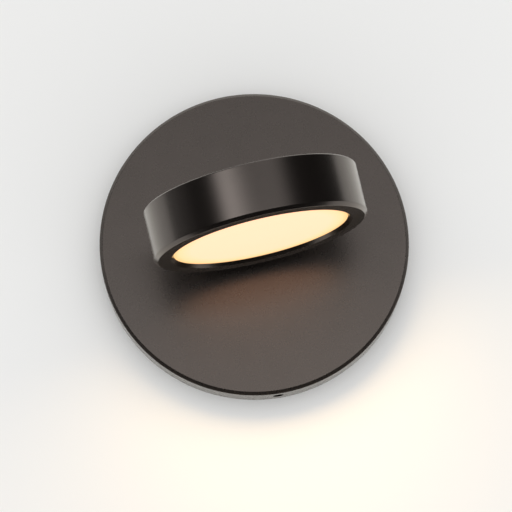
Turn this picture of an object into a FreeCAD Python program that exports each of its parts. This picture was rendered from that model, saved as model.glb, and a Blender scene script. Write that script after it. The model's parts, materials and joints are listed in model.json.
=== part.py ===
"""Pivoting spotlight wall light: a round cover plate, a two-way hinged post and a flat round lamp head.

Lengths are in millimetres. The origin is on the wall, at the swivel axis. +Z is up, +X is to the right
of someone who faces the light, and the room lies towards -Y. The head points down, turned a little.
"""

import FreeCAD
import Part
import Sketcher
import math
import os
import re

from FreeCAD import Placement, Rotation, Vector

# ---------------------------------------------------------------------------------------------------
# Driving sizes: each is written once, here, and goes into the spreadsheet of the document.
# ---------------------------------------------------------------------------------------------------

SIZES = {
    # Cover plate: a shallow cup that hides the bracket
    "plate_diameter": 120.0,
    "plate_depth": 11.0,
    "plate_wall": 1.6,
    "plate_chamfer": 1.2,
    # Wall bracket: a pressed disc with two ears, its screw slots one above the other
    "bracket_margin": 4.2,
    "bracket_thickness": 1.5,
    "bracket_fold_radius": 1.2,
    "bracket_turn": 9.0,
    "wall_slot_spacing": 60.0,
    "wall_slot_length": 9.0,
    "wall_slot_width": 4.6,
    "cable_window_diameter": 22.0,
    "ear_width": 16.0,
    "ear_inset": 4.2,
    "ear_headroom": 0.9,
    "ear_hole_gap": 0.2,
    # Grub screws that hold the cover to the ears
    "grub_diameter": 4.0,
    "grub_length": 5.4,
    "grub_socket": 2.0,
    "grub_socket_depth": 2.2,
    "grub_sunk": 1.0,
    "grub_depth": 5.5,
    "grub_boss_diameter": 6.6,
    "grub_boss_gap": 0.4,
    "thread_gap": 0.05,
    # Supply side inside the cover
    "grommet_offset": 26.0,
    "grommet_hole": 9.0,
    "grommet_flange": 12.0,
    "grommet_lip": 1.0,
    "grommet_round": 0.6,
    "grommet_bore": 6.0,
    "terminal_offset": 25.0,
    "terminal_length": 24.0,
    "terminal_width": 12.0,
    "terminal_headroom": 0.9,
    "terminal_pitch": 7.5,
    "insert_diameter": 4.2,
    "insert_bore": 2.4,
    "insert_length": 11.0,
    "insert_lift": 3.2,
    "terminal_screw_diameter": 2.5,
    "terminal_screw_tip": 0.5,
    "terminal_screw_slot": 0.5,
    "terminal_screw_slot_depth": 1.0,
    "terminal_well_gap": 0.3,
    "terminal_fixing_diameter": 3.0,
    "terminal_fixing_head": 5.2,
    "terminal_fixing_head_height": 2.0,
    "earth_offset": 27.0,
    "earth_turn": 45.0,
    "earth_screw_diameter": 4.0,
    "earth_head_diameter": 7.0,
    "earth_head_height": 2.6,
    "earth_washer_diameter": 9.0,
    "earth_washer_thickness": 0.8,
    # Swivel: a threaded hollow shank through the cover, with washers and a nut behind it
    "shank_diameter": 10.0,
    "shank_flat": 8.6,
    "shank_gap": 0.1,
    "shank_beyond_nut": 0.4,
    "shank_chamfer": 0.4,
    "shank_flat_runout": 0.3,
    "outer_washer_diameter": 16.0,
    "outer_washer_thickness": 0.5,
    "inner_washer_diameter": 18.0,
    "inner_washer_thickness": 0.4,
    "stop_washer_diameter": 17.0,
    "stop_washer_thickness": 0.8,
    "stop_tab_reach": 12.2,
    "stop_tab_width": 2.4,
    "stop_pin_diameter": 2.4,
    "stop_pin_radius": 11.0,
    "stop_pin_length": 2.2,
    "stop_pin_seat": 0.8,
    "spring_washer_diameter": 16.0,
    "spring_washer_thickness": 0.5,
    "spring_washer_rise": 0.8,
    "swivel_nut_width": 14.0,
    "swivel_nut_thickness": 2.4,
    # Post: flange, stem and the cross barrel that the head tilts on
    "head_turn": 13.3,
    "head_gap": 9.0,
    "flange_diameter": 15.6,
    "flange_thickness": 2.4,
    "flange_chamfer": 0.6,
    "stem_diameter": 8.0,
    "barrel_diameter": 8.2,
    "barrel_length": 12.0,
    "trunnion_diameter": 6.0,
    "trunnion_end": 0.5,
    "cable_bore": 3.8,
    # Hinge on the head side
    "pin_inset": 8.5,
    "pin_height": 10.7,
    "friction_washer_thickness": 0.5,
    "cheek_thickness": 1.6,
    "hinge_gap": 0.05,
    "hinge_spring_thickness": 0.4,
    "hinge_spring_rise": 0.7,
    "hinge_nut_thickness": 2.2,
    "hinge_nut_slot": 1.2,
    "hinge_nut_slot_depth": 0.8,
    "hinge_base_thickness": 1.5,
    "hinge_base_length": 15.4,
    "hinge_base_gap": 0.5,
    "cheek_lift": 0.1,
    "cheek_toe": 1.0,
    "cheek_slope": 5.0,
    "hinge_screw_diameter": 3.0,
    "hinge_screw_length": 3.0,
    "hinge_screw_inset": 3.4,
    "hinge_screw_pitch": 7.0,
    "hinge_screw_head": 5.2,
    "hinge_screw_head_height": 2.0,
    # Lamp head: a turned ring with a lip, closed at the back by a disc
    "head_diameter": 81.0,
    "head_height": 19.6,
    "head_wall": 1.7,
    "head_chamfer": 1.3,
    "head_back_edge": 0.4,
    "rim_width": 7.7,
    "opening_flare": 1.0,
    "lip_thickness": 1.4,
    "light_bore_wall": 2.5,
    "slot_gap": 0.4,
    "back_thickness": 1.6,
    "back_gap": 0.15,
    # Light engine: diffuser, light guide, reflector and the strip of LEDs round the guide
    "diffuser_gap": 0.2,
    "diffuser_thickness": 1.0,
    "guide_gap": 0.25,
    "guide_thickness": 2.0,
    "reflector_thickness": 0.2,
    "strip_thickness": 0.3,
    "strip_gap": 0.05,
    "chip_count": 36.0,
    "chip_length": 3.0,
    "chip_height": 1.4,
    "chip_depth": 0.8,
    "chip_lift": 0.3,
    "chassis_thickness": 1.6,
    "chassis_gap": 0.1,
    "ring_groove_depth": 0.5,
    "ring_thickness": 0.9,
    "ring_gap": 0.05,
    "ring_width": 1.9,
    "ring_opening_angle": 44.0,
    # Pillars that carry the back cover, and its screws
    "pillar_inset": 4.8,
    "pillar_diameter": 5.0,
    "pillar_spigot": 3.0,
    "pillar_thread_depth": 6.0,
    "cover_screw_diameter": 2.5,
    "cover_screw_length": 5.0,
    "cover_screw_head": 4.6,
    "cover_screw_sink": 1.1,
    "socket_width": 1.5,
    "socket_depth": 0.9,
    # LED driver: the board's gaps, then its parts, whose places are shares of its length and width
    "board_side_gap": 1.0,
    "board_edge_gap": 3.2,
    "board_hinge_gap": 6.0,
    "board_thickness": 1.2,
    "board_headroom": 7.1,
    "board_post_diameter": 5.0,
    "board_post_inset": 3.0,
    "board_post_shift": 12.0,
    "board_screw_diameter": 2.0,
    "board_screw_bite": 1.2,
    "board_screw_head": 3.8,
    "board_screw_head_height": 1.3,
    "connector_length": 5.0,
    "connector_width": 8.0,
    "connector_height": 5.6,
    "connector_from_edge": 0.5,
    "connector_floor": 0.4,
    "connector_mouth_depth": 3.0,
    "transformer_along": -0.12,
    "transformer_across": 0.5,
    "core_length": 12.0,
    "core_width": 6.0,
    "core_height": 6.5,
    "core_limb": 1.9,
    "bobbin_width": 10.0,
    "bobbin_gap": 0.05,
    "bobbin_foot": 1.6,
    "electrolytic_capacitor_along": 0.2,
    "electrolytic_capacitor_across": 0.14,
    "electrolytic_capacitor_diameter": 6.3,
    "electrolytic_capacitor_length": 11.0,
    "output_capacitor_along": -0.39,
    "output_capacitor_across": 0.3,
    "output_capacitor_diameter": 5.0,
    "output_capacitor_length": 7.0,
    "film_capacitor_along": -0.16,
    "film_capacitor_across": 0.85,
    "film_capacitor_length": 9.0,
    "film_capacitor_width": 4.5,
    "film_capacitor_height": 6.0,
    "choke_along": 0.2,
    "choke_across": 0.68,
    "choke_diameter": 6.0,
    "choke_height": 5.6,
    "choke_waist": 4.2,
    "choke_flange": 0.9,
    "bridge_rectifier_along": 0.36,
    "bridge_rectifier_across": 0.56,
    "bridge_rectifier_length": 4.7,
    "bridge_rectifier_width": 4.0,
    "bridge_rectifier_height": 2.4,
    "driver_chip_along": -0.12,
    "driver_chip_across": 0.14,
    "driver_chip_length": 4.9,
    "driver_chip_width": 3.9,
    "driver_chip_height": 1.5,
    "fuse_along": 0.42,
    "fuse_across": 0.2,
    "fuse_diameter": 2.4,
    "fuse_length": 7.0,
    # Flexible cable inside the post and head
    "cable_diameter": 2.6,
    "cable_bend": 3.2,
    "cable_clearance": 0.2,
    "canopy_bend": 3.0,
    "canopy_ramp_start": 4.6,
    "canopy_ramp_end": 0.4,
    "sheath_end": 2.6,
    "core_wire_diameter": 1.1,
    "core_wire_spread": 0.57,
    "core_wire_bend": 0.55,
    "core_straight": 0.5,
    "core_lead_in": 1.0,
    "core_reach": 3.0,
    "cable_lane": 15.5,
    "clamp_inset": 4.0,
    "clamp_width": 6.0,
    "clamp_foot": 12.6,
    "clamp_foot_height": 2.4,
    "clamp_shoulder": 2.6,
    "clamp_roof": 1.2,
    "clamp_run_out": 1.0,
    "clamp_bend": 6.0,
    "connector_run_in": 1.5,
    "clamp_screw_offset": 6.2,
    "clamp_screw_diameter": 2.5,
    "clamp_screw_head": 4.4,
    "clamp_screw_head_height": 1.6,
    "led_lead_diameter": 0.9,
    "led_lead_pitch": 2.4,
    "led_lead_along": -0.3,
    "led_lead_drop": 3.2,
    "led_lead_solder": 1.5,
    "led_lead_bend": 1.6,
    "led_lead_gap": 0.3,
}

document = FreeCAD.newDocument("pivoting_wall_light")
dims = document.addObject("Spreadsheet::Sheet", "dims")
for row, (size_name, size_value) in enumerate(SIZES.items(), start=1):
    dims.set(f"A{row}", size_name)
    dims.set(f"B{row}", str(size_value))
    dims.setAlias(f"B{row}", size_name)
document.recompute()

# Heights in the lamp head, from its light face towards its back
GUIDE_START = "(lip_thickness + diffuser_thickness)"
REFLECTOR_START = f"({GUIDE_START} + guide_thickness)"
CHASSIS_START = f"({REFLECTOR_START} + reflector_thickness)"
CHASSIS_TOP = f"({CHASSIS_START} + chassis_thickness)"
BACK_START = "(head_height - back_thickness)"
BOARD_TOP = f"({BACK_START} - board_headroom)"
BOARD_START = f"({BOARD_TOP} - board_thickness)"

# Radii in the lamp head
HEAD_BORE = "(head_diameter / 2 - head_wall)"
LIGHT_BORE = "(head_diameter / 2 - light_bore_wall)"
OPENING = "(head_diameter / 2 - rim_width)"
STRIP_INSIDE = f"({LIGHT_BORE} - strip_gap - strip_thickness)"
GUIDE_RADIUS = f"({STRIP_INSIDE} - chip_depth - guide_gap)"
PILLAR_RADIUS = f"({HEAD_BORE} - pillar_inset)"
SLOT_HALF = "(stem_diameter / 2 + slot_gap)"

# Stations in the lamp head along its depth axis, from its middle towards the hinge
PIN_OFFSET = "(head_diameter / 2 - pin_inset)"
HINGE_BASE_END = f"({PIN_OFFSET} - barrel_diameter / 2 - hinge_base_gap)"
HINGE_BASE_START = f"({HINGE_BASE_END} - hinge_base_length)"
CLAMP_MIDDLE = f"({HINGE_BASE_START} + clamp_inset)"
BOARD_END = f"({HINGE_BASE_START} - board_hinge_gap)"
BOARD_LENGTH = f"(2 * ({PILLAR_RADIUS} * cos(45) - pillar_diameter / 2 - board_side_gap))"
BOARD_FAR = f"(board_edge_gap - sqrt({HEAD_BORE} ^ 2 - {BOARD_LENGTH} ^ 2 / 4))"
BOARD_WIDTH = f"({BOARD_END} - {BOARD_FAR})"

# Depths in front of the wall
COVER_INSIDE = "(plate_depth - plate_wall)"
FLANGE_BACK = "(plate_depth + outer_washer_thickness)"
PIN_DEPTH = "(plate_depth + head_gap + pin_inset)"
STOP_WASHER_FRONT = f"({COVER_INSIDE} - inner_washer_thickness)"
SPRING_FRONT = f"({STOP_WASHER_FRONT} - stop_washer_thickness)"
NUT_FRONT = f"({SPRING_FRONT} - spring_washer_rise)"
SHANK_END = f"({NUT_FRONT} - swivel_nut_thickness - shank_beyond_nut)"

# Stations along the tilt axis, from its middle outwards
CHEEK_INSIDE = "(barrel_length / 2 + friction_washer_thickness)"
CHEEK_OUTSIDE = f"({CHEEK_INSIDE} + cheek_thickness)"
HINGE_SPRING = f"({CHEEK_OUTSIDE} + hinge_gap)"
HINGE_NUT = f"({HINGE_SPRING} + hinge_spring_rise)"
TRUNNION_REACH = f"({HINGE_NUT} + hinge_nut_thickness + trunnion_end)"

# The outer face of the bracket's ears, from the middle
EAR_FACE = "(plate_diameter / 2 - plate_wall - ear_inset)"

# How far a cut runs past the face that it opens, and how close two numbers are when they are the same
BEYOND = "1"
SAME = 0.01

ALONG_X = Rotation(Vector(0, 1, 0), 90)
ALONG_Y = Rotation(Vector(1, 0, 0), -90)
ALONG_Z = Rotation()
TOWARDS_WALL = Rotation(Vector(1, 0, 0), 90)
UPSIDE_DOWN = Rotation(Vector(1, 0, 0), 180)


# ---------------------------------------------------------------------------------------------------
# Small tools
# ---------------------------------------------------------------------------------------------------

def formula(text):
    """Points each size name in a formula at its cell in the sheet."""
    return re.sub(r"[a-z_]+", lambda word: f"dims.{word[0]}" if word[0] in SIZES else word[0], text)


def number(text):
    """The present value of a formula."""
    return float(dims.evalExpression(formula(text)))


def bind(thing, **formulas):
    """Binds properties of an object to formulas."""
    for name, text in formulas.items():
        thing.setExpression(name.replace("__", "."), formula(text))


def put(thing, x="0", y="0", z="0", turn=ALONG_Z):
    """Turns a solid and binds its place inside its own sub-part."""
    thing.Placement = Placement(Vector(number(x), number(y), number(z)), turn)
    bind(thing, Placement__Base__x=x, Placement__Base__y=y, Placement__Base__z=z)
    return thing


def cylinder(name, diameter, length, x="0", y="0", z="0", turn=ALONG_Z, angle=360):
    """A round solid whose lower end is centred on x, y, z."""
    solid = document.addObject("Part::Cylinder", name)
    bind(solid, Radius=f"({diameter}) / 2", Height=length)
    solid.Angle = angle
    return put(solid, x, y, z, turn)


def tube(name, outer, inner, length, x="0", y="0", z="0", turn=ALONG_Z):
    """A round solid with a round hole through it."""
    outside = cylinder(name + "_outside", outer, length, x, y, z, turn)
    inside = cylinder(name + "_inside", inner, length, x, y, z, turn)
    return cut(name, outside, inside)


def block(name, length, width, height, x="0", y="0", z="0"):
    """A box centred on x and y, standing on z."""
    solid = document.addObject("Part::Box", name)
    bind(solid, Length=length, Width=width, Height=height)
    return put(solid, f"{x} - ({length}) / 2", f"{y} - ({width}) / 2", z)


def cone(name, lower, upper, height, x="0", y="0", z="0", turn=ALONG_Z):
    """A cone between two diameters."""
    solid = document.addObject("Part::Cone", name)
    bind(solid, Radius1=f"({lower}) / 2", Radius2=f"({upper}) / 2", Height=height)
    return put(solid, x, y, z, turn)


def hexagon(name, width, height, x="0", y="0", z="0", turn=ALONG_Z):
    """A six-sided bar, measured across its flats."""
    solid = document.addObject("Part::Prism", name)
    solid.Polygon = 6
    bind(solid, Circumradius=f"({width}) / sqrt(3)", Height=height)
    return put(solid, x, y, z, turn)


def fuse(name, *solids):
    """Joins overlapping or touching solids into one."""
    whole = document.addObject("Part::MultiFuse", name)
    whole.Shapes = list(solids)
    whole.Refine = True
    return whole


def cut(name, base, *tools):
    """Takes tools away from a solid."""
    rest = document.addObject("Part::Cut", name)
    rest.Base = base
    rest.Tool = tools[0] if len(tools) == 1 else fuse(name + "_tools", *tools)
    return rest


SUB_PARTS = []


def sub_part(name, frame, *solids):
    """One node of the assembly: one or more separate solids in the frame that carries them."""
    whole = document.addObject("Part::Compound", name)
    whole.Links = list(solids)
    whole.Placement = frame
    whole.Label = name
    SUB_PARTS.append(whole)


def body_part(name, frame):
    """A node that is made feature by feature."""
    body = document.addObject("PartDesign::Body", name)
    body.Label = name
    body.Placement = frame
    SUB_PARTS.append(body)
    return body


def plane(body, role):
    """One of the body's own origin planes."""
    return next(item for item in body.Origin.OriginFeatures if item.Role == role)


def sketch(body, name, role, offset="0", turn=ALONG_Z):
    """A sketch on an origin plane, moved along its normal and turned in it."""
    drawing = body.newObject("Sketcher::SketchObject", name)
    drawing.AttachmentSupport = [(plane(body, role), "")]
    drawing.MapMode = "FlatFace"
    drawing.AttachmentOffset = Placement(Vector(0, 0, number(offset)), turn)
    bind(drawing, AttachmentOffset__Base__z=offset)
    return drawing


def hold_point(drawing, line, end, x, y):
    """Holds one end of a line at two formulas, measured from the sketch's origin."""
    for kind, axis, text in (("DistanceX", -2, x), ("DistanceY", -1, y)):
        if text == "0":
            drawing.addConstraint(Sketcher.Constraint("PointOnObject", line, end, axis))
            continue
        index = drawing.addConstraint(Sketcher.Constraint(kind, -1, 1, line, end, number(text)))
        drawing.setExpression(f"Constraints[{index}]", formula(text))


def outline(drawing, *corners):
    """Draws a closed outline of straight lines through corners given as pairs of formulas."""
    points = [Vector(number(x), number(y), 0) for x, y in corners]
    first = drawing.GeometryCount
    for start, end in zip(points, points[1:] + points[:1]):
        drawing.addGeometry(Part.LineSegment(start, end))
    for step, (x, y) in enumerate(corners):
        following = (step + 1) % len(corners)
        drawing.addConstraint(Sketcher.Constraint("Coincident", first + step, 2, first + following, 1))
        hold_point(drawing, first + step, 1, x, y)


def rectangle(drawing, width, height, x="0", y="0"):
    """Draws a rectangle about a centre."""
    left, right = f"{x} - ({width}) / 2", f"{x} + ({width}) / 2"
    low, high = f"{y} - ({height}) / 2", f"{y} + ({height}) / 2"
    outline(drawing, (left, low), (right, low), (right, high), (left, high))


def circle(drawing, diameter, x="0", y="0"):
    """Draws a circle about a centre."""
    centre = Vector(number(x), number(y), 0)
    index = drawing.addGeometry(Part.Circle(centre, Vector(0, 0, 1), number(diameter) / 2))
    hold_point(drawing, index, 3, x, y)
    size = drawing.addConstraint(Sketcher.Constraint("Diameter", index, number(diameter)))
    drawing.setExpression(f"Constraints[{size}]", formula(diameter))


def notch(drawing, half_width, centre, far):
    """Draws a U: a half circle about a point on the vertical axis, open along straight sides to far."""
    half = number(half_width)
    middle = number(centre)
    top = number(far)
    arc = drawing.addGeometry(
        Part.ArcOfCircle(Part.Circle(Vector(0, middle, 0), Vector(0, 0, 1), half), math.pi, 2 * math.pi)
    )
    right = drawing.addGeometry(Part.LineSegment(Vector(half, middle, 0), Vector(half, top, 0)))
    end = drawing.addGeometry(Part.LineSegment(Vector(half, top, 0), Vector(-half, top, 0)))
    left = drawing.addGeometry(Part.LineSegment(Vector(-half, top, 0), Vector(-half, middle, 0)))
    drawing.addConstraint(Sketcher.Constraint("Coincident", arc, 2, right, 1))
    drawing.addConstraint(Sketcher.Constraint("Coincident", right, 2, end, 1))
    drawing.addConstraint(Sketcher.Constraint("Coincident", end, 2, left, 1))
    drawing.addConstraint(Sketcher.Constraint("Coincident", left, 2, arc, 1))
    hold_point(drawing, right, 1, half_width, centre)
    hold_point(drawing, end, 1, half_width, far)
    hold_point(drawing, left, 1, f"-({half_width})", far)
    hold_point(drawing, arc, 1, f"-({half_width})", centre)
    size = drawing.addConstraint(Sketcher.Constraint("DistanceY", -1, 1, arc, 3, middle))
    drawing.setExpression(f"Constraints[{size}]", formula(centre))


def slot(drawing, width, length, x, y):
    """Draws an upright slot with round ends about a centre."""
    half = f"({width}) / 2"
    reach = f"(({length}) - ({width})) / 2"
    top = Vector(number(x), number(f"{y} + {reach}"), 0)
    foot = Vector(number(x), number(f"{y} - {reach}"), 0)
    radius = number(half)
    normal = Vector(0, 0, 1)
    upper = drawing.addGeometry(Part.ArcOfCircle(Part.Circle(top, normal, radius), 0, math.pi))
    lower = drawing.addGeometry(Part.ArcOfCircle(Part.Circle(foot, normal, radius), math.pi, 2 * math.pi))
    side = Vector(radius, 0, 0)
    left = drawing.addGeometry(Part.LineSegment(top - side, foot - side))
    right = drawing.addGeometry(Part.LineSegment(foot + side, top + side))
    for first, second in ((upper, left), (left, lower), (lower, right), (right, upper)):
        drawing.addConstraint(Sketcher.Constraint("Tangent", first, 2, second, 1))
    hold_point(drawing, upper, 3, x, f"{y} + {reach}")
    hold_point(drawing, lower, 3, x, f"{y} - {reach}")
    size = drawing.addConstraint(Sketcher.Constraint("Radius", upper, radius))
    drawing.setExpression(f"Constraints[{size}]", formula(half))


def turned(body, name, drawing):
    """Makes a solid by turning a profile round the upright axis of its sketch."""
    solid = body.newObject("PartDesign::Revolution", name)
    solid.Profile = drawing
    solid.ReferenceAxis = (drawing, ["V_Axis"])
    solid.Angle = 360
    body.Tip = solid
    return solid


def pad(body, name, drawing, length, middle=False):
    """Raises a sketch along its normal, or to both sides of it."""
    solid = body.newObject("PartDesign::Pad", name)
    solid.Profile = drawing
    solid.SideType = "Symmetric" if middle else "One side"
    bind(solid, Length=length)
    body.Tip = solid
    return solid


def pocket(body, name, drawing, length, middle=False, along_normal=False):
    """Cuts a sketch against its normal, to both sides of it, or along it, and proves that it cut."""
    document.recompute()
    before = body.Shape.Volume
    hole = body.newObject("PartDesign::Pocket", name)
    hole.Profile = drawing
    hole.SideType = "Symmetric" if middle else "One side"
    hole.Reversed = along_normal
    bind(hole, Length=length)
    body.Tip = hole
    document.recompute()
    if body.Shape.Volume >= before:
        raise RuntimeError(f"{name} cuts nothing")
    return hole


def edge_names(shape, wanted):
    """Names the edges that a test picks out."""
    return [f"Edge{place}" for place, edge in enumerate(shape.Edges, start=1) if wanted(edge)]


def chamfer(body, name, feature, wanted, size):
    """Breaks the picked edges of a feature."""
    document.recompute()
    edges = edge_names(feature.Shape, wanted)
    if not edges:
        raise RuntimeError(f"{name} finds no edge")
    broken = body.newObject("PartDesign::Chamfer", name)
    broken.Base = (feature, edges)
    bind(broken, Size=size)
    body.Tip = broken


def fillet(body, name, feature, wanted, radius):
    """Rounds the picked edges of a feature."""
    document.recompute()
    edges = edge_names(feature.Shape, wanted)
    if not edges:
        raise RuntimeError(f"{name} finds no edge")
    rounded = body.newObject("PartDesign::Fillet", name)
    rounded.Base = (feature, edges)
    bind(rounded, Radius=radius)
    body.Tip = rounded


def rounded_path(points, bends):
    """A wire of straight runs joined by tangent arcs, one bend radius for each inner point."""
    edges = []
    start = points[0]
    for before, corner, after, bend in zip(points, points[1:], points[2:], map(number, bends)):
        inward = (before - corner).normalize()
        outward = (after - corner).normalize()
        half_turn = inward.getAngle(outward) / 2
        back_off = bend / math.tan(half_turn)
        to_middle = (inward + outward).normalize()
        arc_start = corner + inward * back_off
        arc_end = corner + outward * back_off
        arc_middle = corner + to_middle * (bend / math.sin(half_turn) - bend)
        edges.append(Part.LineSegment(start, arc_start).toShape())
        edges.append(Part.Arc(arc_start, arc_middle, arc_end).toShape())
        start = arc_end
    edges.append(Part.LineSegment(start, points[-1]).toShape())
    return Part.Wire(edges)


def cable(name, points, bends, diameter):
    """A round flexible lead along a rounded path."""
    path = rounded_path([Vector(*map(number, point)) for point in points], bends)
    start = path.Edges[0]
    direction = start.tangentAt(start.FirstParameter)
    radius = number(diameter) / 2
    ring = Part.Wire([Part.Circle(path.Vertexes[0].Point, direction, radius).toShape()])
    lead = document.addObject("Part::Feature", name)
    lead.Shape = path.makePipeShell([ring], True, True)
    expected = math.pi * radius ** 2 * path.Length
    if abs(lead.Shape.Volume - expected) > 0.01 * expected:
        raise RuntimeError(f"{name} does not fill its path")
    return lead


def screw(name, diameter, length, head, head_height, x, y, z, turn=ALONG_Z, sunk=False):
    """A socket screw that points down its own axis, with the underside of its head (or its top) at z."""
    parts = [cylinder(name + "_shank", diameter, length, z=f"-({length})")]
    if sunk:
        parts.append(cone(name + "_head", diameter, head, head_height, z=f"-({head_height})"))
        top = "0"
    else:
        parts.append(cylinder(name + "_head", head, head_height))
        top = head_height
    socket = hexagon(name + "_socket", "socket_width", "socket_depth", z=f"{top} - socket_depth")
    return put(cut(name, fuse(name + "_blank", *parts), socket), x, y, z, turn)


# ---------------------------------------------------------------------------------------------------
# Frames: the wall side, the ears (turned a little), the post and the lamp head
# ---------------------------------------------------------------------------------------------------

WALL = Placement()
EARS = Placement(Vector(), Rotation(Vector(0, 1, 0), -dims.bracket_turn))
POST = Placement(Vector(), Rotation(Vector(0, 1, 0), -dims.head_turn))
PIN_IN_HEAD = Vector(0, number(PIN_OFFSET), dims.pin_height)
HEAD = POST.multiply(Placement(Vector(0, -number(PIN_DEPTH), 0) - PIN_IN_HEAD, Rotation()))


# ---------------------------------------------------------------------------------------------------
# Wall side
# ---------------------------------------------------------------------------------------------------

def wall_bracket():
    """A pressed steel disc on the wall, with a cable window, two screw slots and two folded ears."""
    body = body_part("wall_bracket", WALL)
    turn = Rotation(Vector(0, 0, 1), -dims.bracket_turn)
    disc = sketch(body, "bracket_disc", "XZ_Plane")
    circle(disc, f"2 * ({EAR_FACE} - bracket_margin)")
    pad(body, "bracket_sheet", disc, "bracket_thickness")
    strap = sketch(body, "bracket_strap", "XZ_Plane", turn=turn)
    rectangle(strap, "ear_width", f"2 * {EAR_FACE}")
    pad(body, "bracket_tongues", strap, "bracket_thickness")
    ears = sketch(body, "bracket_ears", "XZ_Plane", turn=turn)
    for side in ("", "-"):
        rectangle(ears, "ear_width", "bracket_thickness", y=f"{side}({EAR_FACE} - bracket_thickness / 2)")
    folded = pad(body, "bracket_folds", ears, f"{COVER_INSIDE} - ear_headroom")
    reach = number(EAR_FACE)

    def is_fold(edge):
        middle = edge.CenterOfMass
        straight = abs(edge.Length - dims.ear_width) < SAME
        return straight and abs(middle.y) < SAME and abs(middle.Length - reach) < SAME

    fillet(body, "bracket_bends", folded, is_fold, "bracket_fold_radius")
    holes = sketch(body, "bracket_holes", "XZ_Plane")
    circle(holes, "cable_window_diameter")
    circle(holes, "grommet_hole", x="-grommet_offset")
    for side in ("", "-"):
        slot(holes, "wall_slot_width", "wall_slot_length", "0", f"{side}wall_slot_spacing / 2")
    earth = ("earth_offset * sin(earth_turn)", "-earth_offset * cos(earth_turn)")
    circle(holes, "earth_screw_diameter + 2 * thread_gap", *earth)
    circle(holes, "terminal_fixing_diameter + 2 * thread_gap", x="terminal_offset")
    pocket(body, "bracket_openings", holes, "4 * bracket_thickness", middle=True)
    through = body.newObject("PartDesign::SubtractiveCylinder", "ear_holes")
    half = f"({EAR_FACE} + {BEYOND})"
    bind(through, Radius="grub_diameter / 2 + ear_hole_gap", Height=f"2 * {half}")
    start = Vector(0, -dims.grub_depth, -number(half))
    through.Placement = EARS.multiply(Placement(start, Rotation()))
    body.Tip = through


def cover_plate():
    """The round cup that shows: a flat face, a broken edge, a deep rim and two tapped bosses inside."""
    body = body_part("cover_plate", EARS)
    profile = sketch(body, "cover_profile", "XY_Plane")
    outline(
        profile,
        ("shank_diameter / 2 + shank_gap", "-plate_depth"),
        ("plate_diameter / 2 - plate_chamfer", "-plate_depth"),
        ("plate_diameter / 2", "plate_chamfer - plate_depth"),
        ("plate_diameter / 2", "0"),
        ("plate_diameter / 2 - plate_wall", "0"),
        ("plate_diameter / 2 - plate_wall", "plate_wall - plate_depth"),
        ("shank_diameter / 2 + shank_gap", "plate_wall - plate_depth"),
    )
    turned(body, "cover_cup", profile)
    start = f"({EAR_FACE} + grub_boss_gap)"
    reach = f"(plate_diameter / 2 - plate_wall / 2 - {start})"
    for name, side in (("upper", 1), ("lower", -1)):
        boss = sketch(body, f"boss_{name}", "XY_Plane", f"{start} * {side}")
        circle(boss, "grub_boss_diameter", y="-grub_depth")
        solid = pad(body, f"boss_{name}_pad", boss, reach)
        solid.Reversed = side < 0
    holes = sketch(body, "grub_holes", "XY_Plane")
    circle(holes, "grub_diameter + 2 * thread_gap", y="-grub_depth")
    pocket(body, "grub_threads", holes, f"plate_diameter + {BEYOND}", middle=True)
    seat = sketch(body, "stop_pin_seat_circle", "XZ_Plane", COVER_INSIDE)
    circle(seat, "stop_pin_diameter + 2 * thread_gap", y="stop_pin_radius")
    pocket(body, "stop_pin_seat_hole", seat, "stop_pin_seat", along_normal=True)


def cover_grub_screws():
    """Two hexagon-socket grub screws, one in each boss, whose tips stand in the ears' holes."""
    screws = []
    top = "(plate_diameter / 2 - grub_sunk)"
    for name, turn in (("upper", ALONG_Z), ("lower", UPSIDE_DOWN)):
        shank = cylinder(f"grub_{name}_shank", "grub_diameter", "grub_length", z=f"{top} - grub_length")
        depth = "grub_socket_depth"
        socket = hexagon(f"grub_{name}_socket", "grub_socket", depth, z=f"{top} - {depth}")
        solid = cut(f"grub_{name}", shank, socket)
        put(solid, y="-grub_depth", turn=turn)
        screws.append(solid)
    sub_part("cover_grub_screws", EARS, *screws)


def cable_grommet():
    """A rubber ring with a groove that grips the edge of the bracket's cable hole."""
    body = body_part("cable_grommet", Placement(Vector(-dims.grommet_offset, 0, 0), Rotation()))
    profile = sketch(body, "grommet_profile", "XY_Plane")
    outline(
        profile,
        ("grommet_bore / 2", "0"),
        ("grommet_hole / 2 - thread_gap", "0"),
        ("grommet_hole / 2 - thread_gap", "-bracket_thickness"),
        ("grommet_flange / 2", "-bracket_thickness"),
        ("grommet_flange / 2", "-bracket_thickness - grommet_lip"),
        ("grommet_bore / 2", "-bracket_thickness - grommet_lip"),
    )
    ring = turned(body, "grommet_ring", profile)
    outer = dims.grommet_flange / 2
    front = -number("bracket_thickness + grommet_lip")

    def is_rim(edge):
        box = edge.BoundBox
        flat = abs(box.YMin - front) < SAME and abs(box.YMax - front) < SAME
        return flat and box.XMax > outer - SAME

    fillet(body, "grommet_rounding", ring, is_rim, "grommet_round")


TERMINAL_LIFT = "(bracket_thickness + insert_lift)"
TERMINAL_FRONT = f"({COVER_INSIDE} - terminal_headroom)"
TERMINAL_MIDDLE = f"((bracket_thickness + {TERMINAL_FRONT}) / 2)"
TERMINAL_POLES = (-1, 1)


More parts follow.
